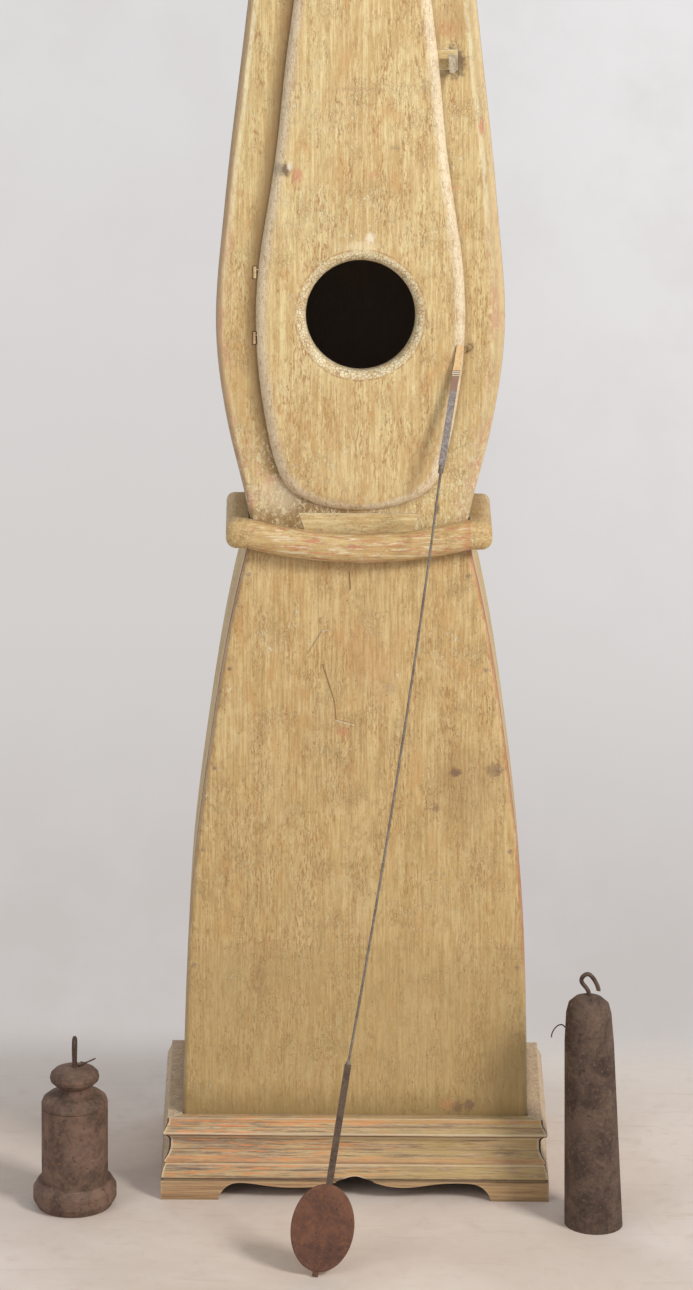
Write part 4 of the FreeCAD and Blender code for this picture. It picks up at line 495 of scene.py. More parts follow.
# %% [markdown]
# ## What only the frame has
# The frame round the door has a browner rounding outside a pale arris, sore along its lower half. The rounding's
# brown is painted shade, darker on the left, and the arris's pale line is worn paint with a painted highlight.
# Beside the door it is dark with grime and painted shade, most of all on the left, where the door's painted
# shadow lies, and under the door the paint flakes and cracks.

# %% Frame's wear
ARRIS_LEFT, ARRIS_RIGHT = 0.009, 0.0135  # how far inside the outline the arris runs


def frame_finish(wood, colour):
    """The rounding's painted shade, the rubbed arris inside it with a painted highlight, grime and the door's
    painted shadow beside the door, and the flaking foot.
    """
    x, z = wood.flat()
    left = x.ramp(0.02, -0.02)
    ragged = (wood.noise((40, 40, 12), 4, 0.65, 0.0, (7, 1, 1)) - 0.5) * 0.006
    near = inside(wood, FRAME_SHAPE) + ragged
    edge = ARRIS_RIGHT - left * (ARRIS_RIGHT - ARRIS_LEFT)
    broken = wood.noise((180, 180, 50), 4, 0.7, 0.0, (8, 2, 5)).ramp(0.34, 0.56)
    # Painted shade: the frame's outer rounding, browner, and darker on the left than on the right
    outer = (edge - near).ramp(0.0, 0.004)
    colour = (outer * 0.75).blend(colour, left.blend(tone(208, 180, 138), tone(180, 146, 114)))
    # Worn paint and a painted highlight: the pale line of the arris
    arris = (1 - abs(near - edge) / 0.0042).ramp(0.0, 0.6)
    arris = arris * (0.1 + broken * 0.5) * (0.3 + z.ramp(1.08, 1.3) * 0.7)
    colour = arris.blend(colour, tone(238, 224, 192))
    sore = wood.noise((150, 150, 50), 5, 0.75, 0.6, (2, 5, 3)).ramp(0.5, 0.6) * near.ramp(0.03, 0.012)
    colour = (sore * z.ramp(1.32, 1.12) * 0.75).blend(colour, tone(204, 150, 122))
    ragged = (wood.noise((90, 90, 30), 4, 0.7, 0.0, (2, 1, 7)) - 0.5) * 0.006
    beside = inside(wood, DOOR_SHAPE) * -1 + ragged
    # Painted shadow of the proud door on the frame to its left, with grime in it
    colour = (beside.ramp(0.023, 0.003) * left * 0.95).blend(colour, tone(140, 108, 66))
    # Painted shade in the narrow valley right beside the door, all round
    colour = (beside.ramp(0.008, 0.0) * 0.4).blend(colour, tone(150, 116, 72))
    foot = z.ramp(1.0, 0.9)
    flakes = wood.noise((200, 200, 140), 5, 0.75, 0.5, (1, 4, 9)).ramp(0.52, 0.6)
    colour = (flakes * foot * 0.55).blend(colour, tone(238, 222, 190))
    cracks = wood.cells((220, 220, 150), "DISTANCE_TO_EDGE", (0.9, 0.4, 0.3)).ramp(0.09, 0.03)
    cracks = cracks * wood.noise(40, 4, 0.7, 0.0, (7, 4, 1)).ramp(0.48, 0.6)
    colour = (cracks * foot * 0.6).blend(colour, tone(138, 102, 72))
    # Grime and painted shade in the frame's tight corners
    return (wood.corners(0.006).ramp(0.35, 0.85) * 0.6).blend(colour, tone(112, 84, 54))


print("arris", ARRIS_LEFT, "m in on the left and", ARRIS_RIGHT, "m on the right")

# %% [markdown]
# ## What only the lower board and the belt have
# The wide lower board is cloudy with wear, and its edges are bared to red-brown wood. The belt is rubbed in
# streaks that run round it, since it is what people brush against, and its right end is sore and orange.

# %% Wear of the lower board and the belt
BELT_TOP = (0.856, 0.866)  # heights between which the belt's sides turn pink


def board_finish(wood, colour):
    """Cloudy wear over the lower board, with red-brown wood bared along its edges."""
    x, z = wood.flat()
    pale = wood.noise((34, 34, 22), 6, 0.75, 0.6, (2, 9, 4)).ramp(0.52, 0.64)
    colour = (pale * z.ramp(0.3, 0.42) * 0.45).blend(colour, tone(222, 196, 148))
    brown = wood.noise((40, 40, 24), 6, 0.78, 0.6, (7, 9, 1)).ramp(0.52, 0.64)
    colour = (brown * 0.45).blend(colour, tone(172, 140, 90))
    ragged = (wood.noise((50, 50, 14), 5, 0.7, 0.0, (3, 5, 9)) - 0.5) * 0.012
    near = inside(wood, BOARD_SHAPE) + ragged
    bared = near.ramp(0.005, 0.001) * z.ramp(0.24, 0.32) * x.ramp(-0.3, 0.15)
    colour = (bared * 0.7).blend(colour, tone(178, 104, 64))
    return (near.ramp(0.006, 0.001) * x.ramp(0.02, -0.02) * 0.35).blend(colour, tone(140, 104, 72))


def belt_side_finish(wood, colour):
    """Greyish pink above, where the belt's side stands free of the front moulding."""
    return (wood.axes()[2].ramp(*BELT_TOP) * 0.55).blend(colour, tone(228, 206, 184))


def belt_streaks(wood, colour):
    """Red and pale streaks rubbed along the belt, sore and orange at its right end."""
    red = wood.noise((30, 180, 230), 5, 0.7, 0.4, (1, 4, 2)).ramp(0.53, 0.61)
    colour = (red * 0.7).blend(colour, tone(196, 116, 90))
    pale = wood.noise((26, 200, 250), 5, 0.7, 0.3, (5, 2, 2)).ramp(0.54, 0.62)
    colour = (pale * 0.7).blend(colour, tone(238, 218, 188))
    end = (wood.axes()[0] + (wood.noise(60, 4, 0.7) - 0.5) * 0.03).ramp(0.122, 0.138)
    return (end * 0.6).blend(colour, tone(208, 136, 96))


print("belt's sides pink above", BELT_TOP[0], "m")

# %% [markdown]
# ## Knots, chips and scratches
# The marks that stand out on the real clock each get a place, measured on the front in metres, and so does a
# painted shadow round the door's catch. The eye looks for them, while the grain of a plain stretch of paint can
# be left to chance.

# %% Places of the marks
KNOT, STAIN, BARE = tone(112, 84, 68), tone(152, 122, 82), tone(196, 138, 92)
DARK, GREY, PALE = tone(104, 80, 56), tone(134, 120, 102), tone(238, 224, 196)
PINK = tone(206, 132, 104)
LOWER_MARKS = [
    (0.1209, 0.5391, 0.009, 0.008, KNOT, 0.9), (0.1705, 0.5432, 0.014, 0.012, KNOT, 0.55),
    (0.0978, 0.4947, 0.006, 0.008, KNOT, 0.6), (0.1427, 0.1169, 0.009, 0.011, KNOT, 0.65),
    (0.128, 0.113, 0.009, 0.01, KNOT, 0.55), (0.115, 0.117, 0.012, 0.01, BARE, 0.5),
    (0.132, 0.52, 0.06, 0.08, STAIN, 0.3), (-0.12, 0.27, 0.012, 0.04, STAIN, 0.35),
    (0.0, 0.69, 0.03, 0.05, BARE, 0.25), (0.03, 0.66, 0.025, 0.05, BARE, 0.2),
    (-0.0194, 0.5898, 0.012, 0.01, BARE, 0.6), (0.04, 0.645, 0.012, 0.01, GREY, 0.25),
]
LOWER_SCRATCHES = [
    (-0.0626, 0.6882, -0.0453, 0.7165, 0.0012, GREY, 0.55),
    (-0.0453, 0.7165, -0.035, 0.7175, 0.0012, PALE, 0.4),
    (-0.044, 0.6737, -0.0293, 0.6278, 0.0012, DARK, 0.6),
    (-0.0293, 0.6278, -0.0272, 0.6048, 0.0011, DARK, 0.5),
    (-0.0272, 0.6048, -0.0046, 0.5987, 0.0014, PALE, 0.45),
    (-0.012, 0.79, -0.0105, 0.768, 0.0012, DARK, 0.7),
]
DOOR_MARKS = [
    (-0.0915, 1.2825, 0.008, 0.01, DARK, 0.85), (-0.087, 1.287, 0.004, 0.008, PALE, 0.8),
    (-0.102, 1.283, 0.01, 0.012, GREY, 0.5), (-0.078, 1.276, 0.01, 0.012, PINK, 0.6),
    (0.011, 1.202, 0.008, 0.009, PALE, 0.8), (0.0, 1.19, 0.03, 0.01, tone(236, 218, 178), 0.5),
    (0.014, 1.278, 0.01, 0.006, PINK, 0.3), (0.04, 1.31, 0.008, 0.004, GREY, 0.4),
    (-0.005, 1.38, 0.05, 0.004, tone(186, 150, 110), 0.35), (0.075, 1.385, 0.004, 0.012, GREY, 0.35),
]
FRAME_MARKS = [
    (0.108, 1.468, 0.03, 0.042, tone(176, 136, 88), 0.5),
    (0.103, 1.452, 0.018, 0.016, tone(196, 138, 94), 0.4),
    # The dark spot round the catch is its painted shadow
    (0.111, 1.414, 0.019, 0.025, DARK, 0.85), (0.094, 1.394, 0.012, 0.012, STAIN, 0.7),
    (0.1444, 1.3371, 0.004, 0.014, PINK, 0.7), (0.112, 1.262, 0.014, 0.004, PINK, 0.35),
    (-0.098, 0.885, 0.04, 0.03, tone(232, 214, 184), 0.35), (-0.112, 0.905, 0.014, 0.012, PINK, 0.2),
    (0.095, 0.87, 0.004, 0.012, DARK, 0.7), (-0.124, 0.915, 0.006, 0.012, PINK, 0.3),
]
print(len(LOWER_MARKS) + len(DOOR_MARKS) + len(FRAME_MARKS), "marks and", len(LOWER_SCRATCHES), "scratches")

# %% [markdown]
# ## The painted boards
# The lower board and the belt are a little darker than the case above them. The belt's grain runs across, and
# that of its sides from front to back.

# %% Painted boards
PAINT = {"light": tone(226, 198, 148), "body": tone(208, 174, 124), "deep": tone(184, 146, 96)}
LOWER_FRONT = painted("lower_front_paint", marks=LOWER_MARKS, scratches=LOWER_SCRATCHES, low=True, side="front",
                      own=board_finish, **PAINT)
LOWER_SIDE = painted("lower_side_paint", low=True, side="sides", pale=0.5, seam=tone(176, 106, 70))
WAIST_FRONT = painted("waist_front_paint", marks=FRAME_MARKS, side="front", own=frame_finish,
                      light=tone(230, 207, 158), body=tone(214, 184, 133), deep=tone(194, 162, 110))
WAIST_SIDE = painted("waist_side_paint", side="sides", pale=0.5, seam=tone(140, 100, 74))
# The door's wide pale border on its rounding is rubbed paint and partly a painted highlight
DOOR = painted("door_paint", marks=DOOR_MARKS, side="front", bare_back=True, slope=(0.01, 0.15), pale=0.7,
               red=0.12, own=door_finish)
BELT = painted("belt_paint", "x", rub=0.6, pale=0.0, slope=None, own=belt_streaks, **PAINT)
BELT_SIDE = painted("belt_side_paint", "y", rub=0.5, red=0.8, pale=0.0, slope=None, own=belt_side_finish,
                    **PAINT)
HOOD = painted("hood_paint", slope=None)
print("painted pine:", len(bpy.data.materials), "materials")

# %% [markdown]
# ## Plinth
# The plinth has lost most of its paint. Its front is grey weathered wood with orange streaks on the left and
# olive paint remains on the right. The moulding runs level, so its dark and pale lines are bands at their
# heights.

# %% Plinth
# Each line along the moulding: its height, half width, colour and strength. The dark lines are painted shade in
# the moulding's hollows and joints, the pale ones painted highlights on its rounds, and the orange ones the
# wood's own colour.
MOULDING_LINES = [
    (0.1045, 0.0014, tone(96, 74, 52), 0.5), (0.0985, 0.003, tone(218, 152, 92), 0.45),
    (0.092, 0.0012, tone(112, 88, 64), 0.5), (0.084, 0.002, tone(228, 210, 178), 0.7),
    (0.081, 0.002, tone(90, 70, 50), 0.8), (0.077, 0.0018, tone(222, 204, 172), 0.6),
    (0.062, 0.0012, tone(116, 94, 72), 0.45), (0.050, 0.004, tone(206, 144, 92), 0.35),
    (0.044, 0.0014, tone(226, 200, 160), 0.5), (0.027, 0.0018, tone(76, 56, 38), 0.85),
]


def weathered(name, axis, low, high):
    """Grey weathered wood. Grain along x means the front, which has the streaks and the moulding's lines."""
    wood = Surface(name)
    front = axis == "x"
    x, z = wood.flat()
    clouds = wood.noise(along(axis, 80, 8), 5, 0.7, 0.3)
    lines = wood.noise(along(axis, 520, 12), 4, 0.7, 0.2, (2, 6, 1))
    fine = wood.noise(along(axis, 760, 60), 3, 0.65)
    streak = wood.noise(along(axis, 330, 20), 5, 0.7, 0.4, (8, 1, 5))
    colour = clouds.ramp(0.38, 0.62).blend(low, high)
    colour = (lines.ramp(0.5, 0.62) * 0.8).blend(colour, tone(118, 96, 76))
    colour = (lines.ramp(0.46, 0.34) * 0.5).blend(colour, tone(220, 198, 162))
    colour = (fine.ramp(0.5, 0.66) * 0.5).blend(colour, tone(212, 190, 156))
    left = x.ramp(0.12, -0.06)
    glow = left * 0.75 + 0.15 if front else 0.12
    colour = (streak.ramp(0.52, 0.6) * glow).blend(colour, tone(218, 146, 90))
    colour = (streak.ramp(0.45, 0.37) * 0.6).blend(colour, tone(112, 94, 80))
    if front:
        remains = wood.noise(along(axis, 120, 18), 5, 0.75, 0.4, (5, 1, 2)).ramp(0.4, 0.56)
        colour = (remains * (1 - left) * 0.65).blend(colour, tone(186, 160, 104))
    worn = wood.edges(0.004).ramp(0.02, 0.16)
    colour = (worn * lines.ramp(0.3, 0.55)).blend(colour, tone(224, 204, 172))
    for height, wide, shade, strength in MOULDING_LINES if front else ():
        band = (1 - abs(z + (clouds - 0.5) * 0.003 - height) / wide).ramp(0.0, 0.7)
        colour = (band * strength * lines.ramp(0.2, 0.5)).blend(colour, shade)
    foot = z.ramp(0.0265, 0.0235)
    colour = (foot * 0.7).blend(colour, tone(178, 142, 100))
    grain = wood.noise(along(axis, 420, 12), 4, 0.65, 0.2, (4, 4, 9))
    colour = (grain.ramp(0.5, 0.62) * foot * 0.65).blend(colour, tone(142, 108, 76))
    colour = (grain.ramp(0.46, 0.36) * foot * 0.5).blend(colour, tone(206, 174, 130))
    # Grime and painted shade: dark brown in the plinth's tight corners
    dirt_and_shade = wood.corners(0.014).ramp(0.2, 0.9)
    colour = (dirt_and_shade * 0.85).blend(colour, tone(84, 64, 44))
    # Painted shade: the faces that look into the plinth get the dark of unlit wood
    colour = wood.inner("front" if front else "sides").blend(colour, tone(44, 32, 24))
    return wood.finish(colour, 0.62 + lines * 0.15, lines * 0.8 + fine * 0.4 - streak * 0.3, 0.0012, 0.6)


PLINTH_FRONT = weathered("plinth_front_wood", "x", tone(158, 132, 106), tone(198, 168, 120))
PLINTH_SIDE = weathered("plinth_side_wood", "z", tone(196, 168, 140), tone(214, 190, 156))
print("plinth:", len(MOULDING_LINES), "lines along its moulding")

# %% [markdown]
# ## Patches and bare wood
# The let-in pieces under the door have the same paint, with their grain across. The hidden boards are aged pine:
# the back's inner face is browner, and the bottom board, the battens and the seat board are dark.

# %% Patches and bare wood
def bare(name, axis="z", light=tone(178, 142, 98), dark=tone(138, 104, 68), sooty=False):
    """Planed pine without paint; sooty for the back's inner face."""
    wood = Surface(name)
    rings = wood.noise(along(axis, 70, 4), 4, 0.6, 0.8)
    lines = wood.noise(along(axis, 420, 12), 4, 0.6, 0.2, (2, 4, 6))
    colour = rings.ramp(0.35, 0.65).blend(dark, light)
    colour = (lines.ramp(0.5, 0.68) * 0.5).blend(colour, dark)
    colour = (wood.noise(9, 4).ramp(0.55, 0.75) * 0.4).blend(colour, tone(104, 82, 60))
    worn = wood.edges(0.003).ramp(0.03, 0.25)
    colour = (worn * 0.4).blend(colour, light)
    if sooty:
        colour = wood.inner("back").blend(colour, tone(142, 116, 96))
    return wood.finish(colour, 0.72 + lines * 0.12, lines * 0.7 + rings * 0.3, 0.0008, 0.5)


PATCH = painted("patch_wood", "x", rub=0.3, slope=None)
BACK = bare("back_wood", "z", sooty=True)
RAW = bare("raw_wood", "x")
DARK_RAW = bare("inner_wood", "x", tone(84, 62, 42), tone(52, 38, 26))
print("wood:", len(bpy.data.materials), "materials")

# %% [markdown]
# ## Rusted iron
# The weights are cast, and the hooks, the rod and the bar are forged. Old iron in a house lies under a brown
# skin, darker in its hollows, with a lighter bloom, and brighter where hands rub it. One function makes them
# all, because three tones and a grain size are enough to tell them apart.

# %% Rusted iron
def rusted(name, light, dark, bloom, rough=0.68, metal=0.35, scale=1.0):
    """Rusted iron: a brown skin with a lighter bloom and worn edges, from three tones."""
    iron = Surface(name)
    light, dark, bloom = tone(*light), tone(*dark), tone(*bloom)
    clouds = iron.noise(24 * scale, 6, 0.7, 0.4)
    grain = iron.noise(210 * scale, 5, 0.7)
    pits = iron.cells(340 * scale)
    colour = clouds.ramp(0.34, 0.66).blend(dark, light)
    colour = (grain.ramp(0.52, 0.68) * 0.6).blend(colour, bloom)
    colour = (grain.ramp(0.44, 0.34) * 0.6).blend(colour, tone(48, 38, 34))
    speck = iron.noise(430 * scale, 3, 0.6, 0.0, (3, 8, 1)).ramp(0.68, 0.74)
    colour = (speck * 0.5).blend(colour, tone(176, 150, 128))
    worn = iron.edges(0.0015).ramp(0.02, 0.2)
    colour = (worn * 0.4).blend(colour, bloom)
    height = grain * 0.7 + clouds * 0.4 + pits.ramp(0.1, 0.45) * 0.4
    return iron.finish(colour, rough + grain * 0.2, height, 0.0008, 0.5, Metallic=metal)


WEIGHT_L = rusted("left_weight_iron", (132, 106, 90), (88, 70, 60), (150, 108, 84))
WEIGHT_R = rusted("right_weight_iron", (108, 88, 74), (70, 54, 46), (132, 104, 86))
HOOK = rusted("hook_iron", (104, 84, 72), (62, 50, 44), (146, 120, 102), 0.5, 0.6, 2.0)
BOB = rusted("bob_iron", (122, 82, 62), (92, 62, 50), (142, 90, 60), 0.7, 0.2)
ROD = rusted("rod_iron", (136, 124, 112), (100, 88, 76), (168, 156, 140), 0.45, 0.3, 2.0)
BAR = rusted("bar_iron", (104, 84, 68), (76, 60, 50), (128, 104, 84), 0.6, 0.2, 2.0)
FITTING = rusted("fitting_iron", (206, 174, 130), (170, 138, 100), (224, 198, 156), 0.6, 0.1, 2.0)
NAIL = rusted("nail_iron", (186, 158, 128), (140, 112, 84), (220, 200, 176), 0.5, 0.4, 3.0)
CATCH = rusted("catch_iron", (196, 182, 154), (150, 132, 104), (222, 210, 182), 0.45, 0.3, 2.0)
FORGED = rusted("forged_iron", (92, 86, 82), (62, 58, 56), (130, 124, 118), 0.45, 0.8)
HAND = rusted("hand_iron", (58, 52, 48), (40, 36, 34), (88, 80, 74), 0.45, 0.7)
print("iron:", len(bpy.data.materials), "materials")

# %% [markdown]
# ## Brass and bell metal
# The movement's plates and wheels are brass that has gone dull, and the bell is a paler metal. Fine turning lines
# and a cloudy tarnish tell them from paint.

# %% Brass and bell metal
def polished(name, light, dark, rough=0.3):
    """Dull brass or bell metal: turning lines, tarnish and brighter edges."""
    metal = Surface(name)
    light, dark = tone(*light), tone(*dark)
    tarnish = metal.noise(30, 5, 0.65, 0.5)
    lines = metal.noise((60, 900, 60), 3, 0.5)
    colour = tarnish.ramp(0.4, 0.68).blend(light, dark)
    colour = (metal.edges(0.0008).ramp(0.03, 0.2) * 0.6).blend(colour, light)
    rough = rough + tarnish.ramp(0.4, 0.7) * 0.25
    return metal.finish(colour, rough, lines * 0.4 + tarnish * 0.3, 0.0003, 0.4, Metallic=1.0)


BRASS = polished("brass", (202, 164, 92), (138, 104, 54))
BARREL = polished("barrel_brass", (198, 158, 88), (128, 96, 50), 0.36)
BELL = polished("bell_metal", (196, 160, 104), (120, 92, 56), 0.28)
print("metals:", len(bpy.data.materials), "materials")

# %% [markdown]
# ## Pendulum strip
# The pendulum hangs by a thin steel strip, whose pale tab at the top is bound with wire. The solid is one piece,
# so its parts are told apart by height, and the wire's turns are a sine wave along the strip.

# %% Pendulum strip
RUST_FROM, BINDING_FROM, TAB_FROM = 1.014, 1.033, 1.041
WIRE_TURNS = 2800.0  # radians for each metre


def strip_finish():
    strip = Surface("strip_steel")
    rise = strip.axes()[2]
    spots = strip.noise(380, 4, 0.7)
    colour = spots.ramp(0.35, 0.65).blend(tone(112, 102, 96), tone(158, 148, 140))
    colour = (rise.ramp(RUST_FROM, RUST_FROM + 0.006) * 0.8).blend(colour, tone(146, 106, 82))
    wire = rise.math("SINE", rise * WIRE_TURNS).ramp(-0.3, 0.6)
    bound = rise.ramp(BINDING_FROM, BINDING_FROM + 0.0005) * rise.ramp(TAB_FROM + 0.0005, TAB_FROM)
    colour = bound.blend(colour, wire.blend(tone(120, 96, 70), tone(226, 210, 182)))
    tab = spots.ramp(0.4, 0.6).blend(tone(222, 190, 134), tone(206, 164, 116))
    colour = rise.ramp(TAB_FROM, TAB_FROM + 0.0005).blend(colour, tab)
    return strip.finish(colour, 0.45 + spots * 0.2, spots, 0.0004, 0.4, Metallic=0.2)


STRIP = strip_finish()
print("strip bound from", BINDING_FROM, "to", TAB_FROM, "m")

# %% [markdown]
# ## Dial
# The dial is a sheet painted off-white, yellowed and crackled in places, with a track of sixty minutes between
# two fine rings. The track comes from the angle and the distance round the centre, so that each stroke stays
# sharp in a close view. It follows the glass, which is narrower than the dial.

# %% Dial
dial_low, dial_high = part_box("dial_plate")
glass_low, glass_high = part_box("bezel_glass")
DIAL_Z = (dial_low[2] + dial_high[2]) / 2
DIAL_EDGE = (glass_high[0] - glass_low[0]) / 2
TRACK_IN, TRACK_OUT = 0.9, 0.95  # radii of the rings, as shares of what the glass shows


def dial_finish():
    dial = Surface("dial_paint")
    age = dial.noise(14, 5, 0.65, 0.4)
    crackle = dial.cells(240, "DISTANCE_TO_EDGE").ramp(0.05, 0.0) * dial.noise(22, 3).ramp(0.5, 0.65)
    face = age.ramp(0.35, 0.7).blend(tone(236, 230, 208), tone(212, 198, 160))
    face = (crackle * 0.5).blend(face, tone(120, 100, 70))
    x, z = dial.flat()
    z = z - DIAL_Z
    reach = (x ** 2 + z ** 2) ** 0.5 / DIAL_EDGE
    minutes = x.math("ARCTAN2", x, z) * (60 / (2 * math.pi))
    tick = abs(minutes - minutes.math("ROUND", minutes)).ramp(0.13, 0.09)
    tick = tick * reach.ramp(TRACK_IN, TRACK_IN + 0.005) * reach.ramp(TRACK_OUT, TRACK_OUT - 0.005)
    rings = [(1 - abs(reach - radius) / 0.006).held() for radius in (TRACK_IN, TRACK_OUT)]
    track = tick.most(rings[0].most(rings[1]).ramp(0.1, 0.5))
    face = (track * 0.85).blend(face, tone(52, 46, 42))
    return dial.finish(face, 0.4 + age * 0.2, age * 0.3 - crackle, 0.0004, 0.4)


DIAL = dial_finish()
print("dial centre", round(DIAL_Z, 4), "visible radius", round(DIAL_EDGE, 4), "front", round(dial_low[1], 4))

# %% [markdown]
# ## Glass
# The bezel's pane is old window glass, faintly green and never quite flat. Most of the light simply passes
# through, which is quick and shows the dial clearly, where true refraction would only add grain.

# %% Glass
pane = Surface("clear_glass")
ripple = pane.noise(26, 2)
tint = ripple.blend(tone(226, 234, 228), tone(238, 242, 238))
GLASS = pane.finish(tint, 0.02 + ripple * 0.03, ripple, 0.0006, 0.2, Alpha=0.22, IOR=1.45)
print("with metals and glass:", len(bpy.data.materials), "materials")

# %% [markdown]
# ## Dressing the pieces
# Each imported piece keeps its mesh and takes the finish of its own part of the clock. One table says which, so
# that no piece can be forgotten.

# %% Dressing
FINISHES = {
    LOWER_FRONT: ["lower_front_board"], LOWER_SIDE: ["lower_side_left", "lower_side_right"],
    WAIST_FRONT: ["waist_front_frame"], WAIST_SIDE: ["waist_side_left", "waist_side_right"],
    DOOR: ["waist_door"], BELT: ["belt_front"], BELT_SIDE: ["belt_side_left", "belt_side_right"],
    HOOD: ["neck_moulding_front", "neck_moulding_sides", "hood_base", "hood_front", "hood_rim", "bezel_ring"],
    PLINTH_FRONT: ["plinth_front"], PLINTH_SIDE: ["plinth_side_left", "plinth_side_right"],
    PATCH: ["let_in_pieces"], BACK: ["back_board", "hood_back"], RAW: ["plinth_back_rail"],
    DARK_RAW: ["bottom_board", "inner_battens", "seat_board"],
    FITTING: ["door_hinge_frame_eyes", "door_hinge_door_eyes", "bezel_hinge"], NAIL: ["nails"],
    CATCH: ["door_catch"], GLASS: ["bezel_glass"],
    BRASS: ["bezel_knob", "movement_front_plate", "movement_back_plate", "movement_pillars", "centre_wheel",
            "third_wheel", "escape_wheel", "minute_wheel", "suspension_cock"],
    BARREL: ["going_barrel", "strike_barrel"], DIAL: ["dial_plate"], HAND: ["hour_hand", "minute_hand"],
    FORGED: ["anchor", "hammer", "bell_stand"], BELL: ["bell"], BOB: ["pendulum_bob"],
    BAR: ["pendulum_bar"], ROD: ["pendulum_rod"], STRIP: ["pendulum_strip"], WEIGHT_L: ["left_weight"],
    WEIGHT_R: ["right_weight"],
    HOOK: ["left_weight_hook", "left_weight_wire", "right_weight_hook", "right_weight_wire"],
}
dressed = set()
for material, names in FINISHES.items():
    for name in names:
        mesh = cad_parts[name].data
        if not mesh.materials:
            mesh.materials.append(material)
        for index in range(len(mesh.materials)):
            mesh.materials[index] = material
        dressed.add(name)
print("dressed", len(dressed), "left", sorted(set(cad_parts) - dressed))

# %% [markdown]
# ## Hour numerals
# The dial's numerals are painted by hand with a flat brush, upright Roman figures whose feet point to the
# centre. Paint has hardly any thickness, so each one is typed as text, turned into a mesh, thinned to a skin of
# paint and laid on the dial at its hour. As shapes they keep sharp edges, and they stay with the case.

# %% Hour numerals
SKIN = 0.0001  # half the thickness of the paint
FIGURE_SIZE, FIGURE_REACH, FIGURE_WIDTH = 0.24, 0.76, 0.8  # shares of the radius that shows, and narrowing
ink = Surface("numeral_paint")
dry = ink.noise(260, 4, 0.7)
fresh = dry.ramp(0.4, 0.7).blend(tone(44, 38, 36), tone(78, 70, 64))
INK = ink.finish(fresh, 0.45 + dry * 0.2, dry, 0.0002, 0.3)
HOURS = ("I", "II", "III", "IIII", "V", "VI", "VII", "VIII", "IX", "X", "XI", "XII")
figures = []
for number, hour in enumerate(HOURS, 1):
    bpy.ops.object.select_all(action="DESELECT")
    bpy.ops.object.text_add(location=(0.0, 0.0, 0.0))
    figure = bpy.context.object
    figure.data.body = hour
    figure.data.align_x = "CENTER"
    figure.data.align_y = "CENTER"
    figure.data.size = DIAL_EDGE * FIGURE_SIZE
    figure.data.space_character = 0.94
    figure.data.extrude = SKIN
    bpy.ops.object.convert(target="MESH")
    figure = bpy.context.object
    figure.name = "numeral_" + str(number)
    figure.data.materials.clear()
    figure.data.materials.append(INK)
    turn = number * math.pi / 6
    reach = DIAL_EDGE * FIGURE_REACH
    place = (math.sin(turn) * reach, dial_low[1] - 2 * SKIN, DIAL_Z + math.cos(turn) * reach)
    upright = Matrix.Rotation(turn, 4, "Y") @ Matrix.Rotation(math.pi / 2, 4, "X")
    figure.matrix_world = Matrix.Translation(place) @ upright @ Matrix.Diagonal((FIGURE_WIDTH, 1.0, 1.0, 1.0))
    bpy.ops.object.transform_apply(location=True, rotation=True, scale=True)
    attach(figure, "case")
    figures.append(figure)
print("numerals:", len(figures), "each", len(figures[-1].data.polygons), "faces at most")

# %% [markdown]
# ## Background
# The studio's paper rises from a warm grey at the floor to a pale cloudy grey, with a pool of light painted on it
# to the right. Only the camera sees it. The clock gets even, slightly cool light from all round, since a studio's
# light isn't what is in the picture.

# %% Background
SKY = 0.55


def background():
    world = bpy.data.worlds.new("studio")
    bpy.context.scene.world = world
    world.use_nodes = True
    tree = world.node_tree
    tree.nodes.clear()
    start = Field(tree, tree.nodes.new("ShaderNodeTexCoord").outputs["Generated"])
    x, z = [start.node("ShaderNodeSeparateXYZ", None, {0: start}, name) for name in "XZ"]
    cloud = start.node("ShaderNodeTexNoise", None,
                       {"Vector": start, "Scale": 26.0, "Detail": 6.0, "Roughness": 0.6})
    paper = z.ramp(-0.31, -0.16).blend(tone(198, 192, 189), tone(212, 208, 206))
    paper = z.ramp(-0.18, 0.08).blend(paper, tone(222, 220, 220))
    # Painted light: the paper brighter towards the right and upwards
    paper = (x.ramp(-0.04, 0.15) * z.ramp(-0.34, 0.06) * 0.65).blend(paper, tone(240, 238, 238))
    paper = (cloud.ramp(0.35, 0.75) * 0.35).blend(paper, tone(212, 208, 206))
    light = start.node("ShaderNodeBackground", None, {0: (0.92, 0.95, 1.0, 1.0), 1: SKY})
    seen = start.node("ShaderNodeBackground", None, {0: paper, 1: 1.0})
    direct = start.node("ShaderNodeLightPath", output="Is Camera Ray")
    mix = start.node("ShaderNodeMixShader", None, {0: direct, 1: light, 2: seen})
    out = tree.nodes.new("ShaderNodeOutputWorld")
    tree.links.new(mix.socket, out.inputs[0])


background()
print("sky at", SKY)

# %% [markdown]
# ## Floor
# A pinkish beige paper with faint blotches and creases. Behind the clock its alpha fades it out into the
# background, so that no line shows where it ends.

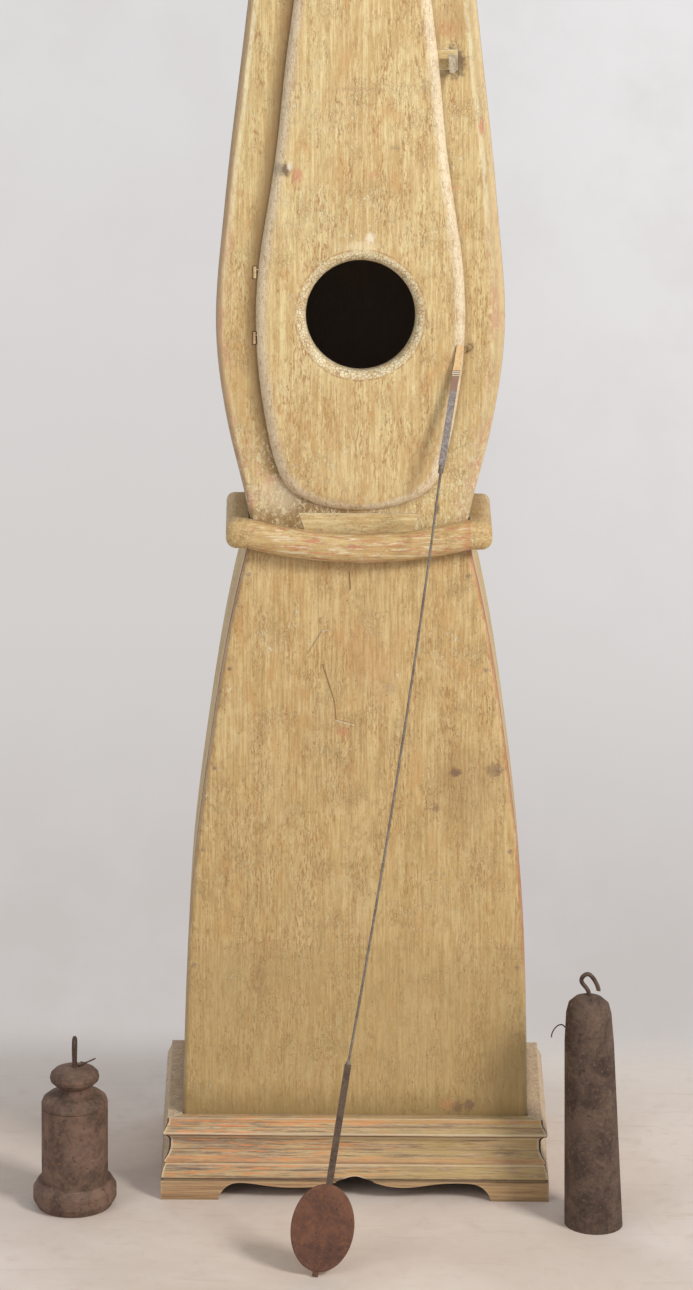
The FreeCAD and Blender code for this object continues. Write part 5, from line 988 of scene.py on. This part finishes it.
# %% Floor
bpy.ops.mesh.primitive_plane_add(size=1.0, location=(0.0, -1.6, 0.0))
floor = bpy.context.object
floor.name = "studio_floor"
floor.scale = (6.0, 4.0, 1.0)
bpy.ops.object.transform_apply(location=True, rotation=False, scale=True)
ground = Surface("floor_paper")
depth = ground.axes()[1]
blotch = ground.noise(3.4, 7, 0.62, 0.5)
fleck = ground.noise(30, 5, 0.7)
paper = blotch.ramp(0.32, 0.7).blend(tone(211, 196, 183), tone(226, 213, 202))
paper = (fleck.ramp(0.5, 0.7) * 0.5).blend(paper, tone(206, 188, 174))
crease = ground.noise((9.0, 60.0, 1.0), 5, 0.7, 0.6, (3, 1, 0)).ramp(0.56, 0.68)
paper = (crease * 0.3).blend(paper, tone(196, 176, 160))
far = depth.ramp(-0.1, 0.35)
paper = (far * 0.6).blend(paper, tone(244, 236, 228))
ground.finish(paper, 0.8, fleck, 0.001, 0.2, Alpha=depth.ramp(0.38, 0.16))
floor.data.materials.append(ground.material)
print("floor", [round(side, 1) for side in floor.dimensions[:2]], "m")

# %% [markdown]
# ## Lamps
# One broad lamp from the upper right does most of the work and throws the soft shadows to the left. A weak one
# on the left keeps them open.

# %% Lamps
def lamp(name, energy, size, place, target, colour):
    bpy.ops.object.light_add(type="AREA", location=place)
    made = bpy.context.object
    made.name = name
    made.data.energy = energy
    made.data.size = size
    made.data.color = colour
    made.rotation_euler = (Vector(target) - Vector(place)).to_track_quat("-Z", "Y").to_euler()
    return made


KEY = lamp("key_lamp", 101.0, 0.9, (2.4, -2.45, 2.6), (0.0, -0.25, 1.1), (1.0, 0.98, 0.95))
FILL = lamp("fill_lamp", 20.0, 1.6, (-2.3, -2.6, 1.9), (0.0, -0.2, 0.9), (0.95, 0.97, 1.0))
print("lamps of", KEY.data.energy, "and", FILL.data.energy, "W")

# %% [markdown]
# ## Camera
# A long lens in front of the case, a little above its middle, looks slightly down, and the picture is shifted
# down for the rest, as with a view camera. The figures come from fitting the pendulum's length and the case's
# corners to the photograph.

# %% Camera
LENS, SHIFT = 70.737, -0.2016
CAMERA_PLACE = (-0.0166, -3.3459, 1.2912)
CAMERA_PITCH, CAMERA_ROLL = math.radians(85), 0.006362
camera = bpy.data.objects.new("camera", bpy.data.cameras.new("camera"))
bpy.context.scene.collection.objects.link(camera)
camera.data.lens = LENS
camera.data.sensor_width = 36.0
camera.data.shift_y = SHIFT
aim = Matrix.Rotation(CAMERA_PITCH, 4, "X") @ Matrix.Rotation(CAMERA_ROLL, 4, "Z")
camera.matrix_world = Matrix.Translation(CAMERA_PLACE) @ aim
bpy.context.scene.camera = camera
bpy.context.scene.view_settings.view_transform = "Standard"
print("camera at", CAMERA_PLACE, "with a lens of", round(LENS, 1), "mm")
